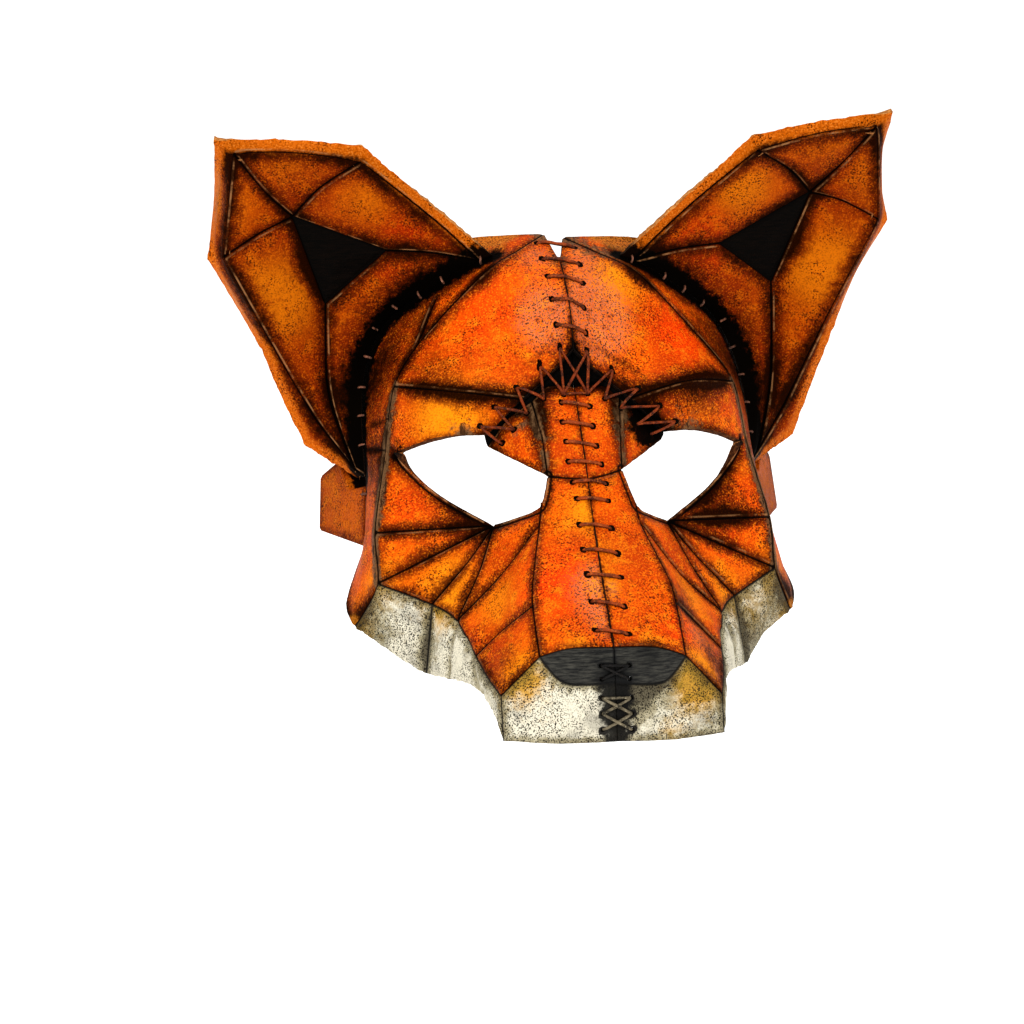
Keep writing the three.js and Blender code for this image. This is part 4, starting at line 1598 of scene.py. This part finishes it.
@dataclass(frozen=True)
class DyedLeather:
    """Vegetable tanned leather, wet moulded, sponge dyed, and burnished dark along its folds.

    The sponge leaves patches a few centimetres wide, the grain takes the dye
    in mottles of a few millimetres with fine dark and bare flecks, the folds
    are scorched brown and then black, and wax gives a dull gloss. The pale
    rubbed coat is partly a painted sheen, the black coat partly painted shade,
    and the light crest beside a tooled groove partly a painted highlight.
    """

    name: str
    deep: str = "#A83404"
    body: str = "#DC5A06"
    bright: str = "#F08A18"
    gold: str = "#E88E10"
    ember: str = "#EC3E02"
    tan: str = "#AE6A1C"
    # Pale rubbed grain; by the forehead seam and on the nose it is also a painted sheen.
    bare: str = "#D07C54"
    lint: str = "#D08C44"
    blotch: str = "#6E2004"
    scorch: str = "#642002"
    burnt: str = "#160600"
    smoke: str = "#6B5138"
    fleck: str = "#1A0B05"
    soot: str = "#040302"
    groove: str = "#030202"
    # Light crest of a bead beside a groove: rubbed bare, and partly a painted highlight.
    bead: str = "#A67850"
    wax: str = "#E0A070"
    gloss: float = 0.14
    patch_mm: float = 24.0
    mottle_mm: float = 5.5
    cluster_mm: float = 11.0
    dent_mm: float = 9.0
    blotch_mm: float = 2.6
    # The pores of the grain are about 0.2 mm, too fine to show, so grain and flecks are drawn coarser.
    grain_mm: float = 0.9
    fleck_mm: float = 0.6
    crinkle_mm: tuple[float, float, float] = (1.2, 4.0, 9.0)

    def material(self) -> bpy.types.Material:
        """Make the material."""
        g = Graph(self.name)
        drawn = g.add("ShaderNodeMapping", 0, {"Vector": g.where,
                                               "Scale": tuple(1000 / size for size in self.crinkle_mm)})
        tex = {key: g.add("ShaderNodeTexNoise", 0, {"Vector": g.where, "Scale": 1000 / size,
                                                    "Detail": detail, "Roughness": rough})
               for key, size, detail, rough in (
                   ("patch", self.patch_mm, 3.0, 0.55), ("mottle", self.mottle_mm, 5.0, 0.65),
                   ("blotch", self.blotch_mm, 6.0, 0.7), ("fleck", self.fleck_mm, 2.0, 0.5),
                   ("cluster", self.cluster_mm, 3.0, 0.6), ("grain", self.grain_mm, 3.0, 0.6),
                   ("dent", self.dent_mm, 2.0, 0.5))}
        tex["crinkle"] = g.add("ShaderNodeTexNoise", 0, {"Vector": drawn, "Scale": 1.0, "Detail": 3.0})
        attr = {key: g.add("ShaderNodeAttribute", 2, attribute_name=key)
                for key in ("fold_mm", "fold_side", *(tone.value for tone in Tone))}
        broken = g.add("ShaderNodeMath", 0, {0: tex["blotch"], 1: 0.9, 2: -0.45}, operation="MULTIPLY_ADD")
        uneven = g.add("ShaderNodeMath", 0, {0: tex["patch"], 1: 1.1, 2: broken}, operation="MULTIPLY_ADD")
        sponged = g.add("ShaderNodeMath", 0, {0: tex["blotch"], 1: 1.7, 2: -0.85}, operation="MULTIPLY_ADD")
        crowd = g.add("ShaderNodeMath", 0, {0: attr["wear"], 1: 0.25, 2: tex["cluster"]},
                      operation="MULTIPLY_ADD")
        edge = {key: g.add("ShaderNodeMath", 0, {0: attr[key], 1: by}, operation="ADD")
                for key, by in (("burn", uneven), ("soot", sponged), ("wear", broken), ("tan", broken),
                                ("smoke", sponged))}
        ramp = {key: g.add("ShaderNodeMapRange", 0, {0: source, 1: low, 2: high, 3: start, 4: end},
                           interpolation_type="SMOOTHSTEP")
                for key, source, low, high, start, end in (
                    ("deep", tex["patch"], 0.62, 0.38, 0.0, 0.75),
                    ("bright", tex["mottle"], 0.47, 0.72, 0.0, 0.6),
                    ("tan", edge["tan"], 0.25, 0.7, 0.0, 0.7),
                    ("wear", edge["wear"], 0.15, 0.85, 0.0, 0.85),
                    ("grainy", tex["fleck"], 0.42, 0.54, 0.1, 1.0),
                    ("smoke", edge["smoke"], 0.3, 0.75, 0.0, 0.82),
                    ("crease", tex["crinkle"], 0.5, 0.62, 0.0, 0.9),
                    ("blotch", tex["blotch"], 0.52, 0.72, 0.0, 0.85),
                    ("cluster", crowd, 0.42, 0.62, 0.35, 1.0),
                    ("scorch", edge["burn"], 0.66, 1.2, 0.0, 0.88),
                    ("burnt", edge["burn"], 1.0, 1.6, 0.0, 0.96),
                    ("dots", tex["fleck"], 0.52, 0.62, 0.0, 0.85),
                    ("pale", tex["fleck"], 0.44, 0.34, 0.0, 0.5),
                    ("soot", edge["soot"], 0.35, 0.8, 0.0, 0.99),
                    ("groove", attr["fold_mm"], 0.52, 0.18, 0.0, 0.97),
                    ("bead_in", attr["fold_mm"], 0.5, 0.75, 0.0, 1.0),
                    ("bead_out", attr["fold_mm"], 1.4, 1.0, 0.0, 1.0),
                    ("bead_side", attr["fold_side"], 0.0, 1.0, 0.0, 1.0),
                    ("worn", tex["mottle"], 0.42, 0.6, 0.05, 0.85),
                    ("gold", attr["gold"], 0.0, 1.0, 0.0, 0.85),
                    ("ember", attr["ember"], 0.0, 1.0, 0.0, 0.85))}
        share = dict(ramp)
        for key, first, second in (("dots", "dots", "cluster"), ("blotch", "blotch", "cluster"),
                                   ("wear", "wear", "grainy"), ("bead", "bead_in", "bead_out"),
                                   ("bead", "bead", "bead_side"), ("bead", "bead", "worn"),
                                   ("crease", "crease", "smoke"), ("lint", "tan", "pale")):
            share[key] = g.add("ShaderNodeMath", 0, {0: share[first], 1: share[second]},
                               operation="MULTIPLY")
        colour = g.coats(self.body, (share["deep"], self.deep), (share["ember"], self.ember),
                         (share["gold"], self.gold), (share["bright"], self.bright),
                         (share["wear"], self.bare), (share["blotch"], self.blotch),
                         (share["scorch"], self.scorch), (share["pale"], self.bright),
                         (share["burnt"], self.burnt), (share["tan"], self.tan), (share["lint"], self.lint),
                         (share["smoke"], self.smoke), (share["crease"], self.burnt),
                         (share["dots"], self.fleck), (share["soot"], self.soot),
                         (share["bead"], self.bead), (share["groove"], self.groove))
        gloss = g.add("ShaderNodeMapRange", 0, {0: tex["mottle"], 1: 0.3, 2: 0.7, 3: 0.42, 4: 0.62})
        pits = g.add("ShaderNodeMath", 0, {0: tex["blotch"], 1: -0.5, 2: tex["grain"]},
                     operation="MULTIPLY_ADD")
        normal = g.add("ShaderNodeBump", 0, {"Height": tex["dent"], "Distance": 0.0012, "Strength": 0.35})
        normal = g.add("ShaderNodeBump", 0, {"Height": tex["crinkle"], "Distance": 0.0012,
                                             "Strength": attr["crinkle"], "Normal": normal})
        normal = g.add("ShaderNodeBump", 0, {"Height": pits, "Distance": 0.0004, "Strength": 0.55,
                                             "Normal": normal})
        g.feed(g.shader.inputs["Base Color"], colour)
        g.feed(g.shader.inputs["Roughness"], gloss)
        g.feed(g.shader.inputs["Normal"], normal)
        dull = g.add("ShaderNodeMath", 0, {0: share["soot"], 1: share["burnt"]}, operation="MAXIMUM")
        wax = g.add("ShaderNodeMath", 0, {0: dull, 1: 0.02 - self.gloss, 2: self.gloss},
                    operation="MULTIPLY_ADD")
        g.feed(g.shader.inputs["Specular IOR Level"], wax)
        g.feed(g.shader.inputs["Specular Tint"], self.wax)
        return g.material


@dataclass(frozen=True)
class CreamLeather:
    """Leather painted cream by hand and rubbed with ochre and black.

    The paint is chalky and thin, so ochre shows at its borders and black
    flecks gather in the pores.
    """

    name: str
    paint: str = "#D2CBB6"
    grey: str = "#8E897C"
    ochre: str = "#B8861E"
    olive: str = "#64561E"
    fleck: str = "#0E0C09"
    burnt: str = "#1C140A"
    soot: str = "#060504"
    patch_mm: float = 10.0
    cluster_mm: float = 9.0
    mottle_mm: float = 3.2
    # Pores of about 0.2 mm are drawn coarser here too.
    grain_mm: float = 0.9
    fleck_mm: float = 0.48

    def material(self) -> bpy.types.Material:
        """Make the material."""
        g = Graph(self.name)
        tex = {key: g.add("ShaderNodeTexNoise", 0, {"Vector": g.where, "Scale": 1000 / size,
                                                    "Detail": detail, "Roughness": rough})
               for key, size, detail, rough in (
                   ("patch", self.patch_mm, 4.0, 0.6), ("mottle", self.mottle_mm, 6.0, 0.7),
                   ("fleck", self.fleck_mm, 2.0, 0.5), ("cluster", self.cluster_mm, 3.0, 0.6),
                   ("grain", self.grain_mm, 3.0, 0.6))}
        attr = {key: g.add("ShaderNodeAttribute", 2, attribute_name=key)
                for key in ("burn", "soot", "gold", "wear", "fold_mm")}
        broken = g.add("ShaderNodeMath", 0, {0: tex["mottle"], 1: 1.4, 2: -0.7}, operation="MULTIPLY_ADD")
        edge = {key: g.add("ShaderNodeMath", 0, {0: attr[key], 1: broken}, operation="ADD")
                for key in ("burn", "soot", "gold")}
        crowd = g.add("ShaderNodeMath", 0, {0: attr["wear"], 1: 0.25, 2: tex["cluster"]},
                      operation="MULTIPLY_ADD")
        crowd = g.add("ShaderNodeMath", 0, {0: attr["burn"], 1: 0.3, 2: crowd}, operation="MULTIPLY_ADD")
        ramp = {key: g.add("ShaderNodeMapRange", 0, {0: source, 1: low, 2: high, 3: start, 4: end},
                           interpolation_type="SMOOTHSTEP")
                for key, source, low, high, start, end in (
                    ("grey", tex["patch"], 0.46, 0.7, 0.0, 0.7),
                    ("ochre", edge["gold"], 0.1, 0.9, 0.0, 0.95),
                    ("olive", edge["burn"], 0.08, 0.55, 0.0, 0.65),
                    ("burn", edge["burn"], 0.5, 1.05, 0.0, 0.7),
                    ("soot", edge["soot"], 0.15, 0.8, 0.0, 0.97),
                    ("dots", tex["fleck"], 0.5, 0.6, 0.0, 0.95),
                    ("crowd", crowd, 0.4, 0.66, 0.12, 1.0),
                    ("groove", attr["fold_mm"], 0.6, 0.2, 0.0, 0.92))}
        dots = g.add("ShaderNodeMath", 0, {0: ramp["dots"], 1: ramp["crowd"]}, operation="MULTIPLY")
        colour = g.coats(self.paint, (ramp["grey"], self.grey), (ramp["ochre"], self.ochre),
                         (ramp["olive"], self.olive), (dots, self.fleck), (ramp["burn"], self.burnt),
                         (ramp["soot"], self.soot), (ramp["groove"], self.fleck))
        bump = g.add("ShaderNodeBump", 0, {"Height": tex["grain"], "Distance": 0.0003, "Strength": 0.5})
        g.feed(g.shader.inputs["Base Color"], colour)
        g.feed(g.shader.inputs["Normal"], bump)
        g.shader.inputs["Roughness"].default_value = 0.65
        g.shader.inputs["Specular IOR Level"].default_value = 0.15
        return g.material


@dataclass(frozen=True)
class BlackLeather:
    """Leather brushed with black dye, which dries in streaks and wears grey on its swells."""

    name: str
    dye: str = "#101010"
    streak: str = "#4C4A43"
    fleck: str = "#040404"
    shine: float = 0.15
    grain_mm: float = 0.9
    streak_mm: tuple[float, float, float] = (5.0, 1.6, 0.6)

    def material(self) -> bpy.types.Material:
        """Make the material."""
        g = Graph(self.name)
        drawn = g.add("ShaderNodeMapping", 0, {"Vector": g.where,
                                               "Scale": tuple(1000 / size for size in self.streak_mm)})
        streaks = g.add("ShaderNodeTexNoise", 0, {"Vector": drawn, "Scale": 1.0, "Detail": 5.0,
                                                  "Roughness": 0.65})
        grain = g.add("ShaderNodeTexNoise", 0, {"Vector": g.where, "Scale": 1000 / self.grain_mm,
                                                "Detail": 3.0})
        attr = {key: g.add("ShaderNodeAttribute", 2, attribute_name=key) for key in ("fold_mm", "soot")}
        ramp = {key: g.add("ShaderNodeMapRange", 0, {0: source, 1: low, 2: high, 3: start, 4: end})
                for key, source, low, high, start, end in (
                    ("streak", streaks, 0.38, 0.72, 0.0, 0.85), ("soot", attr["soot"], 0.1, 0.8, 0.0, 0.9),
                    ("groove", attr["fold_mm"], 0.6, 0.2, 0.0, 0.9),
                    ("gloss", streaks, 0.3, 0.7, 0.45, 0.65))}
        colour = g.coats(self.dye, (ramp["streak"], self.streak), (ramp["soot"], self.fleck),
                         (ramp["groove"], self.fleck))
        bump = g.add("ShaderNodeBump", 0, {"Height": grain, "Distance": 0.0003, "Strength": 0.5})
        g.feed(g.shader.inputs["Base Color"], colour)
        g.feed(g.shader.inputs["Roughness"], ramp["gloss"])
        g.feed(g.shader.inputs["Normal"], bump)
        g.shader.inputs["Specular IOR Level"].default_value = self.shine
        return g.material


@dataclass(frozen=True)
class RawLeather:
    """Undyed leather: the fibrous cut edge, or the napped flesh side, both dull and tan.

    Where the cream paint was carried round the edge it dries unevenly on the nap.
    """

    name: str
    fibre: str = "#B8783C"
    dark: str = "#5E3316"
    pale: str = "#D9A868"
    soot: str = "#0B0705"
    paint: str = "#C4BCA6"
    patch_mm: float = 12.0
    fibre_mm: float = 1.1
    nap: float = 0.6
    stain: float = 0.96

    def material(self) -> bpy.types.Material:
        """Make the material."""
        g = Graph(self.name)
        tex = {key: g.add("ShaderNodeTexNoise", 0, {"Vector": g.where, "Scale": 1000 / size,
                                                    "Detail": 5.0, "Roughness": 0.7})
               for key, size in (("fibre", self.fibre_mm), ("patch", self.patch_mm))}
        soot, paint = (g.add("ShaderNodeAttribute", 2, attribute_name=key) for key in ("soot", "paint"))
        painted = g.add("ShaderNodeMath", 0, {0: tex["fibre"], 1: 0.8, 2: paint}, operation="MULTIPLY_ADD")
        ramp = {key: g.add("ShaderNodeMapRange", 0, {0: source, 1: low, 2: high, 3: 0.0, 4: end})
                for key, source, low, high, end in (
                    ("dark", tex["fibre"], 0.48, 0.7, 0.85), ("pale", tex["fibre"], 0.5, 0.3, 0.6),
                    ("patch", tex["patch"], 0.45, 0.7, 0.5), ("soot", soot, 0.3, 0.9, self.stain),
                    ("paint", painted, 0.65, 1.0, 0.9))}
        colour = g.coats(self.fibre, (ramp["patch"], self.dark), (ramp["dark"], self.dark),
                         (ramp["pale"], self.pale), (ramp["paint"], self.paint), (ramp["soot"], self.soot))
        bump = g.add("ShaderNodeBump", 0, {"Height": tex["fibre"], "Distance": 0.0006, "Strength": self.nap})
        g.feed(g.shader.inputs["Base Color"], colour)
        g.feed(g.shader.inputs["Normal"], bump)
        g.shader.inputs["Roughness"].default_value = 0.85
        g.shader.inputs["Specular IOR Level"].default_value = 0.12
        return g.material


@dataclass(frozen=True)
class WaxedThong:
    """Round leather thong, dyed and waxed, with worn stretches, and painted shade on its underside and where
    it enters its holes.
    """

    name: str
    dye: str = "#8A3A0C"
    dark: str = "#2A1006"
    worn: str = "#D8823A"
    shade: str = "#040302"
    stretch_mm: float = 4.0
    fibre_mm: float = 0.7

    def material(self) -> bpy.types.Material:
        """Make the material."""
        g = Graph(self.name)
        tex = {key: g.add("ShaderNodeTexNoise", 0, {"Vector": g.where, "Scale": 1000 / size,
                                                    "Detail": 4.0, "Roughness": 0.65})
               for key, size in (("stretch", self.stretch_mm), ("fibre", self.fibre_mm))}
        ramp = {key: g.add("ShaderNodeMapRange", 0, {0: source, 1: low, 2: high, 3: 0.0, 4: end})
                for key, source, low, high, end in (
                    ("dark", tex["stretch"], 0.43, 0.6, 0.85), ("worn", tex["fibre"], 0.54, 0.74, 0.6))}
        # Painted shade under the lace and inside its holes.
        sunk_shade = g.add("ShaderNodeAttribute", 2, attribute_name="sunk_shade")
        colour = g.coats(self.dye, (ramp["dark"], self.dark), (ramp["worn"], self.worn), (sunk_shade, self.shade))
        bump = g.add("ShaderNodeBump", 0, {"Height": tex["fibre"], "Distance": 0.0003, "Strength": 0.6})
        g.feed(g.shader.inputs["Base Color"], colour)
        g.feed(g.shader.inputs["Normal"], bump)
        g.shader.inputs["Roughness"].default_value = 0.55
        g.shader.inputs["Specular IOR Level"].default_value = 0.18
        return g.material


@dataclass
class Studio:
    """A pale floor, soft lights and the camera."""

    lens: float = 135.0
    sensor: float = 36.0
    image: int = 1024
    yaw: float = -9.7
    pitch: float = 8.7
    roll: float = -1.31
    pixel: float = 0.34
    bridge_at: tuple[float, float] = (588.0, 479.0)
    floor_at: float = -0.16
    floor_half: float = 40.0
    glow: float = 0.5
    surround: float = 0.5

    def build(self) -> None:
        """Set up the stage."""
        self.floor()
        self.lights()
        self.camera()

    def floor(self) -> None:
        """A wide pale floor under the mask."""
        bm = bmesh.new()
        bmesh.ops.create_grid(bm, x_segments=1, y_segments=1, size=self.floor_half)
        bmesh.ops.translate(bm, verts=bm.verts[:], vec=(0, 0, self.floor_at))
        mesh = bpy.data.meshes.new("floor")
        bm.to_mesh(mesh)
        bm.free()
        g = Graph("matt_white_paper")
        g.feed(g.shader.inputs["Base Color"], "#F6F6F5")
        g.shader.inputs["Roughness"].default_value = 0.9
        g.shader.inputs["Emission Color"].default_value = (1, 1, 1, 1)
        g.shader.inputs["Emission Strength"].default_value = self.glow
        mesh.materials.append(g.material)
        floor = bpy.data.objects.new("floor", mesh)
        bpy.context.scene.collection.objects.link(floor)

    def lights(self) -> None:
        """A white surround and three soft boxes."""
        world = bpy.data.worlds.new("white_surround")
        world.use_nodes = True
        surround = next(n for n in world.node_tree.nodes if n.type == "BACKGROUND")
        surround.inputs["Color"].default_value = (1, 1, 1, 1)
        surround.inputs["Strength"].default_value = self.surround
        bpy.context.scene.world = world
        for name, at, size, power in (("key", (-0.7, -1.3, 1.1), 0.7, 18.0),
                                      ("fill", (1.2, -1.1, 0.5), 0.9, 5.0),
                                      ("top", (0.1, -0.1, 1.5), 0.8, 7.0)):
            light = bpy.data.lights.new(name, "AREA")
            light.size = size
            light.energy = power
            lamp = bpy.data.objects.new(name, light)
            lamp.location = at
            lamp.rotation_euler = (-Vector(at)).to_track_quat("-Z", "Y").to_euler()
            bpy.context.scene.collection.objects.link(lamp)
        bpy.context.scene.view_settings.view_transform = "Standard"
        bpy.context.scene.view_settings.look = "Medium High Contrast"

    def camera(self) -> None:
        """A long lens a little to the left of the mask and above it."""
        yaw, pitch, roll = (math.radians(v) for v in (self.yaw, self.pitch, self.roll))
        ahead = Vector((-math.sin(yaw) * math.cos(pitch), math.cos(yaw) * math.cos(pitch), -math.sin(pitch)))
        right = Vector((math.cos(yaw), math.sin(yaw), 0))
        up = right.cross(ahead)
        right, up = (right * math.cos(roll) + up * math.sin(roll),
                     up * math.cos(roll) - right * math.sin(roll))
        data = bpy.data.cameras.new("camera")
        data.lens = self.lens
        data.sensor_width = self.sensor
        data.shift_x = (self.image / 2 - self.bridge_at[0]) / self.image
        data.shift_y = (self.bridge_at[1] - self.image / 2) / self.image
        data.clip_start, data.clip_end = 0.05, 60.0
        camera = bpy.data.objects.new("camera", data)
        place = Matrix((right, up, -ahead)).transposed().to_4x4()
        distance = self.lens / self.sensor * self.image * self.pixel
        place.translation = (BRIDGE - ahead * distance) * MM
        camera.matrix_world = place
        bpy.context.scene.collection.objects.link(camera)
        bpy.context.scene.camera = camera


def main() -> None:
    """Build the mask piece by piece, then its stage."""
    logging.basicConfig(level=logging.INFO, format="%(message)s")
    noise.seed_set(WAVER_SEED)
    cream = CreamLeather("cream_painted_leather").material()
    black = BlackLeather("black_brushed_leather").material()
    # Black for the ears' dyed centre triangles, and for the brow tucks, where it is painted shade of the
    # gap.
    sooted_and_shaded = BlackLeather("black_sponged_leather", dye="#040302", streak="#120B07", shine=0.03).material()
    flesh = RawLeather("leather_flesh_side", fibre="#8E5C32", dark="#5A3820", pale="#B58656",
                       stain=0.0).material()
    torn = RawLeather("torn_leather_edge").material()
    burnished = RawLeather("burnished_leather_edge", fibre="#4E2A12", dark="#1E0E07",
                           pale="#8A5A32").material()
    face = DyedLeather("sponge_dyed_face_leather").material()
    ear_dye = DyedLeather("sponge_dyed_ear_leather", deep="#722203", body="#A04202", bright="#C0660C",
                          gold="#BC680A", ember="#A82802", tan="#C4640E", gloss=0.06).material()
    tab_dye = DyedLeather("sponge_dyed_tab_leather", deep="#8A3A04", body="#B25206", bright="#C06C14",
                          gloss=0.08).material()
    halves = {side: FaceHalf(side) for side in Side}
    for half in halves.values():
        half.mould()
    ears = {side: Ear(side, half) for side, half in halves.items()}
    for side, ear in ears.items():
        ear.mould()
        seat = ear.line_tree([(Line.VALLEY, ear.chain("baseEdge"))])
        halves[side].tool(FACE_DABS, FACE_SCORES, shade=seat)
        ear.tool(EAR_DABS)
    lacing = Lacing(halves, ears)
    tabs = [StrapTab(side) for side in Side]
    lacing.plan(tabs)
    brown = WaxedThong("waxed_brown_thong").material()
    dark = WaxedThong("waxed_dark_thong", dye="#742E08", dark="#1C0A04", worn="#C46A26").material()
    sooty = WaxedThong("sooty_black_thong", dye="#100D0B", dark="#040303", worn="#3A322A").material()
    grey = WaxedThong("rubbed_grey_thong", dye="#6E6450", dark="#12100C", worn="#B8AC90").material()
    pale = WaxedThong("rubbed_pale_thong", dye="#7A4E3A", dark="#2A1810", worn="#BC9078").material()
    lacing.build("seam_laces", brown, "face_leather")
    lacing.build("brow_laces", dark, "face_leather")
    lacing.build("nose_laces", sooty, "face_leather")
    lacing.build("chin_laces", grey, "face_leather")
    for side in Side:
        lacing.build(f"ear_laces_{side.word}", pale, "ear_leather")
        halves[side].finish((face, cream, black, flesh, burnished, sooted_and_shaded), "face_leather")
        ears[side].finish((ear_dye, cream, black, flesh, torn, sooted_and_shaded), "ear_leather")
    for tab in tabs:
        tab.build((tab_dye, cream, black, flesh, burnished, sooted_and_shaded))
    Studio().build()


if __name__ == "__main__":
    main()
